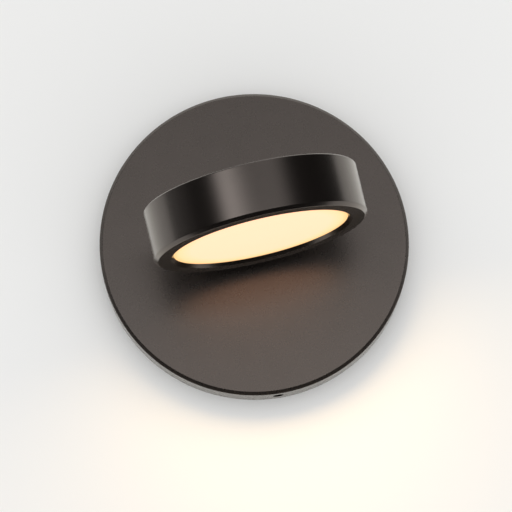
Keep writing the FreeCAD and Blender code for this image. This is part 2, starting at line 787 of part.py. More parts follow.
def terminal_block():
    """The moulded two-pole block on the bracket, with a through hole for its fixing screw."""
    height = f"{TERMINAL_FRONT} - bracket_thickness"
    base = block(
        "terminal_base", "terminal_width", height, "terminal_length",
        "terminal_offset", f"-{TERMINAL_MIDDLE}", "-terminal_length / 2",
    )
    outside = f"-{TERMINAL_FRONT} - {BEYOND}"
    fixing = cylinder(
        "terminal_fixing", "terminal_fixing_diameter + 2 * thread_gap", f"{height} + 2 * {BEYOND}",
        "terminal_offset", outside, turn=ALONG_Y,
    )
    recess = cylinder(
        "terminal_fixing_recess", "terminal_fixing_head + 2 * terminal_well_gap",
        f"{TERMINAL_FRONT} - {TERMINAL_MIDDLE} + {BEYOND}", "terminal_offset", outside, turn=ALONG_Y,
    )
    tools = [fixing, recess]
    for side in TERMINAL_POLES:
        across = f"terminal_pitch * {side}"
        tools.append(cylinder(
            f"terminal_bore_{side + 1}", "insert_diameter + 2 * thread_gap", f"terminal_width + 2 * {BEYOND}",
            f"terminal_offset - terminal_width / 2 - {BEYOND}", f"-{TERMINAL_LIFT}", across, ALONG_X,
        ))
        tools.append(cylinder(
            f"terminal_well_{side + 1}", "terminal_screw_diameter + 2 * terminal_well_gap",
            f"{TERMINAL_FRONT} - {TERMINAL_LIFT} + {BEYOND}", "terminal_offset", outside, across, ALONG_Y,
        ))
    sub_part("terminal_block", WALL, cut("terminal_body", base, *tools))


def terminal_inserts():
    """The brass tubes inside the block, each with a tapped hole for its screw."""
    inserts = []
    for side in TERMINAL_POLES:
        start = "terminal_offset - insert_length / 2"
        place = (start, f"-{TERMINAL_LIFT}", f"terminal_pitch * {side}", ALONG_X)
        bar = cylinder(f"insert_bar_{side + 1}", "insert_diameter", "insert_length", *place)
        bore = cylinder(f"insert_bore_{side + 1}", "insert_bore", "insert_length", *place)
        thread = cylinder(
            f"insert_thread_{side + 1}", "terminal_screw_diameter + 2 * thread_gap", "insert_diameter",
            "terminal_offset", f"-{TERMINAL_LIFT} - insert_diameter", f"terminal_pitch * {side}", ALONG_Y,
        )
        inserts.append(cut(f"insert_{side + 1}", bar, bore, thread))
    sub_part("terminal_inserts", WALL, *inserts)


def terminal_screws():
    """The slotted screws that clamp the wires, their heads level with the block's face."""
    screws = []
    for side in TERMINAL_POLES:
        across = f"terminal_pitch * {side}"
        tip = f"({TERMINAL_LIFT} + insert_bore / 2 - terminal_screw_tip)"
        shank = cylinder(
            f"terminal_screw_shank_{side + 1}", "terminal_screw_diameter", f"{TERMINAL_FRONT} - {tip}",
            "terminal_offset", f"-{TERMINAL_FRONT}", across, ALONG_Y,
        )
        groove = block(
            f"terminal_screw_groove_{side + 1}", f"terminal_screw_diameter + {BEYOND}",
            "2 * terminal_screw_slot_depth", "terminal_screw_slot",
            "terminal_offset", f"-{TERMINAL_FRONT}", f"{across} - terminal_screw_slot / 2",
        )
        screws.append(cut(f"terminal_screw_{side + 1}", shank, groove))
    sub_part("terminal_screws", WALL, *screws)


def terminal_fixing_screw():
    """The screw through the middle of the block into the bracket."""
    fixing = screw(
        "terminal_fixing_bolt", "terminal_fixing_diameter", TERMINAL_MIDDLE, "terminal_fixing_head",
        "terminal_fixing_head_height", "terminal_offset", f"-{TERMINAL_MIDDLE}", "0", TOWARDS_WALL,
    )
    sub_part("terminal_fixing_screw", WALL, fixing)


def earth_screw():
    """The earth screw and its cupped washer, tapped into the bracket."""
    place = Vector(number("earth_offset * sin(earth_turn)"), 0, number("-earth_offset * cos(earth_turn)"))
    frame = Placement(place, Rotation())
    front = "-bracket_thickness - earth_washer_thickness"
    washer = tube(
        "earth_ring", "earth_washer_diameter", "earth_screw_diameter + 2 * thread_gap",
        "earth_washer_thickness", y=front, turn=ALONG_Y,
    )
    sub_part("earth_washer", frame, washer)
    bolt = screw(
        "earth_bolt", "earth_screw_diameter", "bracket_thickness + earth_washer_thickness",
        "earth_head_diameter", "earth_head_height", "0", front, "0", TOWARDS_WALL,
    )
    sub_part("earth_screw", frame, bolt)


def canopy_cable():
    """The flexible cable from the shank's end round to the terminal block, and its two bared cores."""
    deep = "-cable_diameter / 2 - cable_clearance"
    over = f"{deep} - bracket_thickness"
    mouth = "(terminal_offset - terminal_width / 2)"
    split = f"({mouth} - sheath_end)"
    points = (
        ("0", f"-{SHANK_END}", "0"),
        ("0", deep, "0"),
        ("cable_window_diameter / 2 - canopy_ramp_start", deep, "0"),
        ("cable_window_diameter / 2 - canopy_ramp_end", over, "0"),
        (split, over, "0"),
    )
    bends = (f"({SHANK_END} + {deep}) * 0.98", "canopy_bend", "canopy_bend")
    sub_part("canopy_cable", WALL, cable("canopy_sheath", points, bends, "cable_diameter"))
    cores = []
    inside = "terminal_offset - insert_length / 2 + core_reach"
    for side in TERMINAL_POLES:
        core_points = (
            (split, over, f"core_wire_spread * {side}"),
            (f"{split} + core_straight", over, f"core_wire_spread * {side}"),
            (f"{mouth} - core_lead_in", f"-{TERMINAL_LIFT}", f"terminal_pitch * {side}"),
            (inside, f"-{TERMINAL_LIFT}", f"terminal_pitch * {side}"),
        )
        bends = ("core_wire_bend", "core_wire_bend")
        cores.append(cable(f"core_{side + 1}", core_points, bends, "core_wire_diameter"))
    sub_part("canopy_cores", WALL, *cores)


def stop_pin():
    """The steel pin in the cover that the stop washer's tab meets at the two ends of the swivel."""
    pin = cylinder(
        "stop_pin_bar", "stop_pin_diameter", "stop_pin_seat + stop_pin_length",
        y=f"-{COVER_INSIDE} - stop_pin_seat", z="stop_pin_radius", turn=ALONG_Y,
    )
    sub_part("stop_pin", EARS, pin)


# ---------------------------------------------------------------------------------------------------
# Post and swivel
# ---------------------------------------------------------------------------------------------------

def pivot_post():
    """One turned piece: threaded shank with two flats, flange, stem and a cross barrel with trunnions."""
    body = body_part("pivot_post", POST)
    profile = sketch(body, "post_profile", "XY_Plane")
    outline(
        profile,
        ("0", f"-{SHANK_END}"),
        ("shank_diameter / 2 - shank_chamfer", f"-{SHANK_END}"),
        ("shank_diameter / 2", f"-{SHANK_END} - shank_chamfer"),
        ("shank_diameter / 2", f"-{FLANGE_BACK}"),
        ("flange_diameter / 2", f"-{FLANGE_BACK}"),
        ("flange_diameter / 2", f"-{FLANGE_BACK} - flange_thickness + flange_chamfer"),
        ("flange_diameter / 2 - flange_chamfer", f"-{FLANGE_BACK} - flange_thickness"),
        ("stem_diameter / 2", f"-{FLANGE_BACK} - flange_thickness"),
        ("stem_diameter / 2", f"-{PIN_DEPTH}"),
        ("0", f"-{PIN_DEPTH}"),
    )
    turned(body, "post_turning", profile)
    for name, across, length in (
        ("barrel", "barrel_diameter", "barrel_length"),
        ("trunnions", "trunnion_diameter", f"2 * {TRUNNION_REACH}"),
    ):
        drawing = sketch(body, f"{name}_circle", "YZ_Plane")
        circle(drawing, across, x=f"-{PIN_DEPTH}")
        pad(body, name, drawing, length, middle=True)
    bore = sketch(body, "post_bore_circle", "XZ_Plane")
    circle(bore, "cable_bore")
    pocket(body, "post_bore", bore, PIN_DEPTH, along_normal=True)
    cross = sketch(body, "cross_bore_circle", "YZ_Plane")
    circle(cross, "cable_bore", x=f"-{PIN_DEPTH}")
    pocket(body, "cross_bore", cross, f"{TRUNNION_REACH} + {BEYOND}", along_normal=True)
    flats = sketch(body, "shank_flat_lines", "XZ_Plane", f"{SHANK_END} - {BEYOND}")
    for side in (-1, 1):
        offset = f"{side} * (shank_flat + shank_diameter) / 2"
        rectangle(flats, "shank_diameter", f"shank_diameter + {BEYOND}", x=offset)
    depth = f"{STOP_WASHER_FRONT} + shank_flat_runout - {SHANK_END} + {BEYOND}"
    pocket(body, "shank_flats", flats, depth, along_normal=True)


def swivel_washers():
    """The plastic washers on both faces of the cover, which give the swivel its even drag."""
    hole = "shank_diameter + 2 * shank_gap"
    outer = tube(
        "outer_washer_ring", "outer_washer_diameter", hole, "outer_washer_thickness",
        y=f"-{FLANGE_BACK}", turn=ALONG_Y,
    )
    sub_part("outer_friction_washer", POST, outer)
    inner = tube(
        "inner_washer_ring", "inner_washer_diameter", hole, "inner_washer_thickness",
        y=f"-{COVER_INSIDE}", turn=ALONG_Y,
    )
    sub_part("inner_friction_washer", POST, inner)


def stop_washer():
    """A steel washer keyed to the shank's flats, with a tab that ends the swivel."""
    y = f"-{STOP_WASHER_FRONT}"
    thickness = "stop_washer_thickness"
    middle = f"{y} + {thickness} / 2"
    disc = cylinder("stop_disc", "stop_washer_diameter", thickness, y=y, turn=ALONG_Y)
    tab = block("stop_tab", "stop_tab_width", thickness, "stop_tab_reach", "0", middle, "-stop_tab_reach")
    hole = document.addObject("Part::Common", "stop_hole")
    hole.Base = cylinder("stop_round", "shank_diameter + 2 * shank_gap", thickness, y=y, turn=ALONG_Y)
    hole.Tool = block(
        "stop_flats", "shank_flat + 2 * shank_gap", thickness, f"shank_diameter + {BEYOND}",
        "0", middle, f"-(shank_diameter + {BEYOND}) / 2",
    )
    sub_part("stop_washer", POST, cut("stop_plate", fuse("stop_blank", disc, tab), hole))


def dish(name, outer, inner, thickness, rise, turn, x="0", y="0", z="0"):
    """One dished spring washer, hollow side first along its axis."""
    outside = cone(f"{name}_outside", outer, f"({inner}) + 2 * ({thickness})", rise)
    hollow = cone(f"{name}_hollow", f"({outer}) - 2 * ({thickness})", inner, f"({rise}) - ({thickness}) / 2")
    hole = cylinder(f"{name}_hole", inner, f"({rise}) + 2 * {BEYOND}", z=f"-{BEYOND}")
    return put(cut(name, outside, hollow, hole), x, y, z, turn)


def swivel_spring_washer():
    """The dished spring washer under the swivel nut."""
    ring = dish(
        "swivel_dish", "spring_washer_diameter", "shank_diameter + 2 * shank_gap", "spring_washer_thickness",
        "spring_washer_rise", ALONG_Y, y=f"-{SPRING_FRONT}",
    )
    sub_part("swivel_spring_washer", POST, ring)


def swivel_nut():
    """The thin hexagon nut that draws the flange and washers together on the cover."""
    y = f"-{NUT_FRONT}"
    nut = hexagon("swivel_hexagon", "swivel_nut_width", "swivel_nut_thickness", y=y, turn=ALONG_Y)
    thread = "shank_diameter + 2 * thread_gap"
    hole = cylinder("swivel_thread", thread, "swivel_nut_thickness", y=y, turn=ALONG_Y)
    sub_part("swivel_nut", POST, cut("swivel_nut_body", nut, hole))


def post_cable():
    """The cable inside the post: up the stem, round into the barrel and out along the tilt axis."""
    corner = ("0", f"-{PIN_DEPTH}", "0")
    points = (("0", f"-{SHANK_END}", "0"), corner, (TRUNNION_REACH, f"-{PIN_DEPTH}", "0"))
    sub_part("post_cable", POST, cable("post_lead", points, ("cable_bend",), "cable_diameter"))


def hinge_nuts_and_springs():
    """On each trunnion, outside its cheek: a dished spring washer and a slotted round nut."""
    springs = []
    nuts = []
    for side, turn in ((1, ALONG_X), (-1, Rotation(Vector(0, 1, 0), -90))):
        springs.append(dish(
            f"hinge_dish_{side + 1}", "barrel_diameter", "trunnion_diameter + 2 * thread_gap",
            "hinge_spring_thickness", "hinge_spring_rise", turn, f"{side} * {HINGE_SPRING}", f"-{PIN_DEPTH}",
        ))
        ring = tube(
            f"hinge_nut_ring_{side + 1}", "barrel_diameter", "trunnion_diameter + 2 * thread_gap",
            "hinge_nut_thickness",
        )
        groove = block(
            f"hinge_nut_groove_{side + 1}", f"barrel_diameter + {BEYOND}", "hinge_nut_slot",
            "hinge_nut_slot_depth", z="hinge_nut_thickness - hinge_nut_slot_depth",
        )
        nut = cut(f"hinge_nut_{side + 1}", ring, groove)
        nuts.append(put(nut, f"{side} * {HINGE_NUT}", f"-{PIN_DEPTH}", "0", turn))
    sub_part("hinge_spring_washers", POST, *springs)
    sub_part("hinge_nuts", POST, *nuts)


# ---------------------------------------------------------------------------------------------------
# Lamp head, shell and hinge
# ---------------------------------------------------------------------------------------------------

def head_housing():
    """The turned ring of the head: a flared lip round the light, a stepped bore and a slot for the stem."""
    body = body_part("head_housing", HEAD)
    profile = sketch(body, "housing_profile", "XZ_Plane")
    groove = f"({HEAD_BORE} + ring_groove_depth)"
    groove_top = f"{CHASSIS_TOP} + ring_thickness + ring_gap"
    outline(
        profile,
        (f"{OPENING} + opening_flare", "0"),
        ("head_diameter / 2 - head_chamfer", "0"),
        ("head_diameter / 2", "head_chamfer"),
        ("head_diameter / 2", "head_height - head_back_edge"),
        ("head_diameter / 2 - head_back_edge", "head_height"),
        (HEAD_BORE, "head_height"),
        (HEAD_BORE, groove_top),
        (groove, groove_top),
        (groove, CHASSIS_TOP),
        (HEAD_BORE, CHASSIS_TOP),
        (HEAD_BORE, CHASSIS_START),
        (LIGHT_BORE, CHASSIS_START),
        (LIGHT_BORE, "lip_thickness"),
        (OPENING, "lip_thickness"),
    )
    turned(body, "housing_ring", profile)
    opening = sketch(body, "stem_slot_lines", "XZ_Plane")
    notch(opening, SLOT_HALF, "pin_height", f"head_height + {BEYOND}")
    pocket(body, "stem_slot", opening, f"head_diameter / 2 + {BEYOND}")


PILLAR_ANGLES = (45, 135, 225, 315)


def pillar_place(angle):
    """Where a pillar and its screw stand, in one of the four directions."""
    return f"{PILLAR_RADIUS} * cos({angle})", f"{PILLAR_RADIUS} * sin({angle})"


def back_cover():
    """The disc that closes the head, with a slot for the tilted stem and four countersunk holes."""
    body = body_part("back_cover", HEAD)
    disc = sketch(body, "back_disc", "XY_Plane", BACK_START)
    circle(disc, f"2 * ({HEAD_BORE} - back_gap)")
    pad(body, "back_sheet", disc, "back_thickness")
    opening = sketch(body, "back_slot_lines", "XY_Plane", "head_height")
    notch(opening, SLOT_HALF, PIN_OFFSET, "head_diameter")
    pocket(body, "back_slot", opening, "back_thickness")
    holes = sketch(body, "back_screw_circles", "XY_Plane", "head_height")
    for angle in PILLAR_ANGLES:
        circle(holes, "cover_screw_diameter + 2 * thread_gap", *pillar_place(angle))
    drilled = pocket(body, "back_screw_holes", holes, "back_thickness")
    top = dims.head_height
    half = number("cover_screw_diameter / 2 + thread_gap")

    def is_hole_rim(edge):
        is_round = isinstance(edge.Curve, Part.Circle) and abs(edge.Curve.Radius - half) < SAME
        return is_round and edge.BoundBox.ZMin > top - SAME

    chamfer(body, "back_countersinks", drilled, is_hole_rim, "(cover_screw_head - cover_screw_diameter) / 2")


def pillars_and_cover_screws():
    """Four tapped pillars on the chassis, and the countersunk screws that hold the cover to them."""
    pillars = []
    screws = []
    height = f"{BACK_START} - {CHASSIS_TOP}"
    for angle in PILLAR_ANGLES:
        place = pillar_place(angle)
        post = cylinder(f"pillar_post_{angle}", "pillar_diameter", height, *place, CHASSIS_TOP)
        foot = ("pillar_spigot", "chassis_thickness", *place, CHASSIS_START)
        spigot = cylinder(f"pillar_spigot_{angle}", *foot)
        thread = cylinder(
            f"pillar_thread_{angle}", "cover_screw_diameter + 2 * thread_gap", "pillar_thread_depth",
            *place, f"{BACK_START} - pillar_thread_depth",
        )
        pillars.append(cut(f"pillar_{angle}", fuse(f"pillar_blank_{angle}", post, spigot), thread))
        screws.append(screw(
            f"cover_screw_{angle}", "cover_screw_diameter", "cover_screw_length", "cover_screw_head",
            "cover_screw_sink", *place, "head_height", sunk=True,
        ))
    sub_part("cover_pillars", HEAD, *pillars)
    sub_part("back_cover_screws", HEAD, *screws)


HINGE_SCREW_PLACES = (
    f"{HINGE_BASE_START} + hinge_screw_inset",
    f"{HINGE_BASE_START} + hinge_screw_inset + hinge_screw_pitch",
)


def hinge_bracket():
    """A folded steel fork: a base on the chassis and two round-ended cheeks that hold the trunnions."""
    body = body_part("hinge_bracket", HEAD)
    base = sketch(body, "fork_base_lines", "XY_Plane", CHASSIS_TOP)
    middle = f"({HINGE_BASE_START} + {HINGE_BASE_END}) / 2"
    rectangle(base, f"2 * {CHEEK_OUTSIDE}", "hinge_base_length", y=middle)
    pad(body, "fork_base", base, "hinge_base_thickness")
    for name, side in (("right", 1), ("left", -1)):
        start = CHEEK_INSIDE if side > 0 else f"-{CHEEK_OUTSIDE}"
        lines = sketch(body, f"cheek_{name}_lines", "YZ_Plane", start)
        low = f"{CHASSIS_TOP} + cheek_lift"
        high = "pin_height + barrel_diameter / 2"
        outline(
            lines,
            (HINGE_BASE_START, low),
            (PIN_OFFSET, low),
            (PIN_OFFSET, high),
            (f"{HINGE_BASE_START} + cheek_slope", high),
            (HINGE_BASE_START, f"{CHASSIS_TOP} + hinge_base_thickness + cheek_toe"),
        )
        pad(body, f"cheek_{name}", lines, "cheek_thickness")
        eye = sketch(body, f"eye_{name}_circle", "YZ_Plane", start)
        circle(eye, "barrel_diameter", x=PIN_OFFSET, y="pin_height")
        pad(body, f"eye_{name}", eye, "cheek_thickness")
    bores = sketch(body, "trunnion_bore_circle", "YZ_Plane")
    circle(bores, "trunnion_diameter + 2 * thread_gap", x=PIN_OFFSET, y="pin_height")
    pocket(body, "trunnion_bores", bores, f"2 * {CHEEK_OUTSIDE} + {BEYOND}", middle=True)
    holes = sketch(body, "fork_screw_circles", "XY_Plane")
    for place in HINGE_SCREW_PLACES:
        circle(holes, "hinge_screw_diameter + 2 * thread_gap", y=place)
    pocket(body, "fork_screw_holes", holes, "head_height", along_normal=True)


def hinge_bracket_screws():
    """Two screws through the fork's base into the chassis."""
    screws = []
    for index, place in enumerate(HINGE_SCREW_PLACES):
        screws.append(screw(
            f"fork_screw_{index}", "hinge_screw_diameter", "hinge_screw_length", "hinge_screw_head",
            "hinge_screw_head_height", "0", place, f"{CHASSIS_TOP} + hinge_base_thickness",
        ))
    sub_part("hinge_bracket_screws", HEAD, *screws)


def hinge_friction_washers():
    """Plastic washers between the barrel's shoulders and the fork's cheeks."""
    rings = []
    for side, start in ((1, "barrel_length / 2"), (-1, f"-{CHEEK_INSIDE}")):
        rings.append(tube(
            f"hinge_washer_{side + 1}", "barrel_diameter", "trunnion_diameter + 2 * thread_gap",
            "friction_washer_thickness", start, PIN_OFFSET, "pin_height", ALONG_X,
        ))
    sub_part("hinge_friction_washers", HEAD, *rings)


# ---------------------------------------------------------------------------------------------------
# Light engine
# ---------------------------------------------------------------------------------------------------

def light_stack():
    """From the lip upwards: the opal diffuser, the clear light guide and the white reflector sheet."""
    opal = f"2 * ({LIGHT_BORE} - diffuser_gap)"
    sub_part("diffuser", HEAD, cylinder("diffuser_disc", opal, "diffuser_thickness", z="lip_thickness"))
    guide = f"2 * {GUIDE_RADIUS}"
    sub_part("light_guide", HEAD, cylinder("guide_disc", guide, "guide_thickness", z=GUIDE_START))
    sheet = cylinder("reflector_disc", guide, "reflector_thickness", z=REFLECTOR_START)
    sub_part("reflector_sheet", HEAD, sheet)


def led_ring():
    """The flexible strip round the light guide, and the LEDs on it that face inwards."""
    outer = f"2 * ({LIGHT_BORE} - strip_gap)"
    height = "guide_thickness + reflector_thickness"
    strip = tube("strip_band", outer, f"2 * {STRIP_INSIDE}", height, z=GUIDE_START)
    sub_part("led_strip", HEAD, strip)
    chips = []
    count = round(dims.chip_count)
    reach = number(f"sqrt({STRIP_INSIDE} ^ 2 - chip_length ^ 2 / 4) - chip_depth")
    corner = Vector(reach, -dims.chip_length / 2, number(f"{GUIDE_START} + chip_lift"))
    for index in range(count):
        chip = document.addObject("Part::Box", f"chip_{index}")
        bind(chip, Length="chip_depth", Width="chip_length", Height="chip_height")
        turn = Rotation(Vector(0, 0, 1), 360 * (index + 0.5) / count)
        chip.Placement = Placement(turn.multVec(corner), turn)
        chips.append(chip)
    sub_part("led_chips", HEAD, *chips)


def chassis_plate():
    """The aluminium plate that clamps the light stack, spreads its heat and carries everything behind it."""
    body = body_part("chassis_plate", HEAD)
    disc = sketch(body, "chassis_disc", "XY_Plane", CHASSIS_START)
    circle(disc, f"2 * ({HEAD_BORE} - chassis_gap)")
    pad(body, "chassis_sheet", disc, "chassis_thickness")
    holes = sketch(body, "chassis_circles", "XY_Plane", CHASSIS_START)
    for angle in PILLAR_ANGLES:
        circle(holes, "pillar_spigot + 2 * thread_gap", *pillar_place(angle))
    for place in HINGE_SCREW_PLACES:
        circle(holes, "hinge_screw_diameter + 2 * thread_gap", y=place)
    for x, y in board_post_places():
        circle(holes, "board_screw_diameter + 2 * thread_gap", x, y)
    circle(holes, "clamp_screw_diameter + 2 * thread_gap", CLAMP_SCREW_X, CLAMP_MIDDLE)
    for side in (-1, 1):
        circle(holes, "led_lead_diameter + 2 * led_lead_gap", *led_lead_place(side))
    pocket(body, "chassis_holes", holes, "chassis_thickness", along_normal=True)


def retaining_ring():
    """An open spring ring in the housing's groove that holds the chassis and the light stack down."""
    outer = f"2 * ({HEAD_BORE} + ring_groove_depth - ring_gap)"
    inner = f"{outer} - 2 * ring_width"
    turn = Rotation(Vector(0, 0, 1), 90 + dims.ring_opening_angle / 2)
    band = cylinder("ring_sweep", outer, "ring_thickness", z=CHASSIS_TOP, turn=turn)
    bind(band, Angle="360 - ring_opening_angle")
    hole = cylinder("ring_hole", inner, "ring_thickness", z=CHASSIS_TOP)
    sub_part("retaining_ring", HEAD, cut("ring_band", band, hole))


# ---------------------------------------------------------------------------------------------------
# LED driver
# ---------------------------------------------------------------------------------------------------

CLAMP_SCREW_X = "(cable_lane + clamp_screw_offset)"
CONNECTOR_LIFT = f"({BOARD_TOP} + cable_diameter / 2 + connector_floor)"


def board_place(name):
    """Where a part stands on the board, from its shares of the board's length and width."""
    return f"{name}_along * {BOARD_LENGTH}", f"{BOARD_FAR} + {name}_across * {BOARD_WIDTH}"


def board_post_places():
    """The four screw places of the driver board, clear of its connector."""
    far = f"{BOARD_FAR} + board_post_inset"
    near = f"{BOARD_END} - board_post_inset"
    side = f"({BOARD_LENGTH} / 2 - board_post_inset)"
    return (f"-{side}", far), (side, far), (f"-{side}", near), (f"{side} - board_post_shift", near)


def led_lead_place(side):
    """Where one of the two LED leads passes through the chassis, close to the strip."""
    return f"led_lead_along * {BOARD_LENGTH} + led_lead_pitch / 2 * {side}", f"{BOARD_FAR} - led_lead_drop"


def driver_board():
    """The driver's printed board, its four pillars and its screws."""
    body = body_part("driver_board", HEAD)
    sheet = sketch(body, "board_lines", "XY_Plane", BOARD_START)
    rectangle(sheet, BOARD_LENGTH, BOARD_WIDTH, y=f"({BOARD_FAR} + {BOARD_END}) / 2")
    pad(body, "board_sheet", sheet, "board_thickness")
    holes = sketch(body, "board_circles", "XY_Plane", BOARD_START)
    for x, y in board_post_places():
        circle(holes, "board_screw_diameter + 2 * thread_gap", x, y)
    pocket(body, "board_holes", holes, "board_thickness", along_normal=True)
    posts = []
    screws = []
    for index, place in enumerate(board_post_places()):
        posts.append(tube(
            f"board_post_{index}", "board_post_diameter", "board_screw_diameter + 2 * thread_gap",
            f"{BOARD_START} - {CHASSIS_TOP}", *place, CHASSIS_TOP,
        ))
        screws.append(screw(
            f"board_screw_{index}", "board_screw_diameter", f"{BOARD_TOP} - {CHASSIS_TOP} + board_screw_bite",
            "board_screw_head", "board_screw_head_height", *place, BOARD_TOP,
        ))
    sub_part("board_posts", HEAD, *posts)
    sub_part("board_screws", HEAD, *screws)


def board_connector():
    """The white push-in connector at the board's edge, with a round mouth for the cable."""
    front = f"{BOARD_END} - connector_from_edge"
    base = block(
        "connector_base", "connector_length", "connector_width", "connector_height",
        "cable_lane", f"{front} - connector_width / 2", BOARD_TOP,
    )
    mouth = cylinder(
        "connector_mouth", "cable_diameter + 2 * thread_gap", "connector_mouth_depth",
        "cable_lane", f"{front} - connector_mouth_depth", CONNECTOR_LIFT, ALONG_Y,
    )
    sub_part("board_connector", HEAD, cut("connector_body", base, mouth))


def transformer():
    """A ferrite core of two limbs round a wound bobbin that stands on two feet."""
    x, y = board_place("transformer")
    outside = block("core_outside", "core_length", "core_width", "core_height", x, y, BOARD_TOP)
    inside = "core_length - 2 * core_limb"
    room = "core_height - 2 * core_limb"
    window = block("core_window", inside, f"core_width + {BEYOND}", room, x, y, f"{BOARD_TOP} + core_limb")
    sub_part("transformer_core", HEAD, cut("core_frame", outside, window))
    bobbin = block(
        "bobbin_body", f"{inside} - 2 * bobbin_gap", "bobbin_width", f"{room} - 2 * bobbin_gap",
        x, y, f"{BOARD_TOP} + core_limb + bobbin_gap",
    )
    feet = [
        block(
            f"bobbin_foot_{side + 1}", f"{inside} - bobbin_foot", "bobbin_foot",
            "core_limb + bobbin_foot / 4", x, f"{y} + {side} * (bobbin_width - bobbin_foot) / 2", BOARD_TOP,
        )
        for side in (-1, 1)
    ]
    sub_part("transformer_bobbin", HEAD, fuse("bobbin_whole", bobbin, *feet))


def lying_can(name):
    """A round part that lies on the board along the head's depth axis."""
    x, y = board_place(name)
    height = f"{BOARD_TOP} + {name}_diameter / 2"
    can = cylinder(f"{name}_can", f"{name}_diameter", f"{name}_length", x, y, height, ALONG_Y)
    sub_part(name, HEAD, can)


def square_part(name):
    """A moulded box that stands on the board."""
    size = (f"{name}_length", f"{name}_width", f"{name}_height")
    sub_part(name, HEAD, block(f"{name}_case", *size, *board_place(name), BOARD_TOP))


def choke():
    """A drum choke: a wound waist between two flanges."""
    place = board_place("choke")
    waist = cylinder("choke_winding", "choke_waist", "choke_height", *place, BOARD_TOP)
    lower = cylinder("choke_lower", "choke_diameter", "choke_flange", *place, BOARD_TOP)
    top = f"{BOARD_TOP} + choke_height - choke_flange"
    upper = cylinder("choke_upper", "choke_diameter", "choke_flange", *place, top)
    sub_part("choke", HEAD, fuse("choke_whole", waist, lower, upper))


def head_cable():
    """The cable from the trunnion's end, past the clamp, to the driver's connector."""
    points = (
        (TRUNNION_REACH, PIN_OFFSET, "pin_height"),
        ("cable_lane", PIN_OFFSET, "pin_height"),
        ("cable_lane", f"{CLAMP_MIDDLE} - clamp_width / 2 - clamp_run_out", "pin_height"),
        ("cable_lane", f"{BOARD_END} + connector_run_in", CONNECTOR_LIFT),
        (
            "cable_lane",
            f"{BOARD_END} - connector_from_edge - connector_mouth_depth + cable_clearance",
            CONNECTOR_LIFT,
        ),
    )
    bends = ("cable_bend", "clamp_bend", "clamp_bend")
    sub_part("head_cable", HEAD, cable("head_lead", points, bends, "cable_diameter"))


def cable_clamp():
    """A moulded saddle on the chassis that takes the pull off the cable, and its screw."""
    saddle_width = "(cable_diameter + 2 * clamp_shoulder)"
    saddle = block(
        "clamp_saddle", saddle_width, "clamp_width",
        f"pin_height + cable_diameter / 2 + clamp_roof - {CHASSIS_TOP}",
        "cable_lane", CLAMP_MIDDLE, CHASSIS_TOP,
    )
    foot = block(
        "clamp_foot_block", "clamp_foot", "clamp_width", "clamp_foot_height",
        f"cable_lane - {saddle_width} / 2 + clamp_foot / 2", CLAMP_MIDDLE, CHASSIS_TOP,
    )
    passage = cylinder(
        "clamp_passage", "cable_diameter + 2 * thread_gap", f"clamp_width + 2 * {BEYOND}",
        "cable_lane", f"{CLAMP_MIDDLE} - clamp_width / 2 - {BEYOND}", "pin_height", ALONG_Y,
    )
    hole = cylinder(
        "clamp_hole", "clamp_screw_diameter + 2 * thread_gap", f"clamp_foot_height + 2 * {BEYOND}",
        CLAMP_SCREW_X, CLAMP_MIDDLE, f"{CHASSIS_TOP} - {BEYOND}",
    )
    sub_part("cable_clamp", HEAD, cut("clamp_body", fuse("clamp_blank", saddle, foot), passage, hole))
    bolt = screw(
        "clamp_bolt", "clamp_screw_diameter", "clamp_foot_height + chassis_thickness", "clamp_screw_head",
        "clamp_screw_head_height", CLAMP_SCREW_X, CLAMP_MIDDLE, f"{CHASSIS_TOP} + clamp_foot_height",
    )
    sub_part("cable_clamp_screw", HEAD, bolt)


def led_leads():
    """Two thin leads from the driver's edge down through the chassis to the LED strip."""
    leads = []
    for side in (-1, 1):
        x, y = led_lead_place(side)
        height = f"{BOARD_TOP} + led_lead_diameter / 2"
        points = (
            (x, f"{BOARD_FAR} + led_lead_solder", height),
            (x, y, height),
            (x, y, CHASSIS_START),
        )
        leads.append(cable(f"led_lead_{side + 1}", points, ("led_lead_bend",), "led_lead_diameter"))
    sub_part("led_leads", HEAD, *leads)


wall_bracket()
cover_plate()
cover_grub_screws()
cable_grommet()
terminal_block()
terminal_inserts()
terminal_screws()
terminal_fixing_screw()
earth_screw()
canopy_cable()
stop_pin()
pivot_post()
swivel_washers()
stop_washer()
swivel_spring_washer()
swivel_nut()
post_cable()
hinge_nuts_and_springs()
head_housing()
back_cover()
pillars_and_cover_screws()
hinge_bracket()
hinge_bracket_screws()
hinge_friction_washers()
light_stack()
led_ring()
chassis_plate()
retaining_ring()
driver_board()
board_connector()
transformer()
lying_can("electrolytic_capacitor")
lying_can("output_capacitor")
lying_can("fuse")
square_part("film_capacitor")
square_part("bridge_rectifier")
square_part("driver_chip")
choke()
head_cable()
cable_clamp()
led_leads()

document.recompute()

for thing in document.Objects:
    if "Invalid" in thing.State or "Error" in thing.State:
        raise RuntimeError(f"{thing.Name} failed: {thing.State}")
for whole in SUB_PARTS:
    if whole.Shape.isNull() or not whole.Shape.isValid() or not whole.Shape.Solids:
        raise RuntimeError(f"{whole.Label} has no valid solid")

os.makedirs("parts", exist_ok=True)
for whole in SUB_PARTS:
    whole.Shape.exportStep(f"parts/{whole.Label}.step")
    print(f"{whole.Label}: {len(whole.Shape.Solids)} solids, {whole.Shape.Volume:.1f} mm3")
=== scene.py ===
import json
import math

import bmesh
import bpy
from mathutils import Matrix, Vector

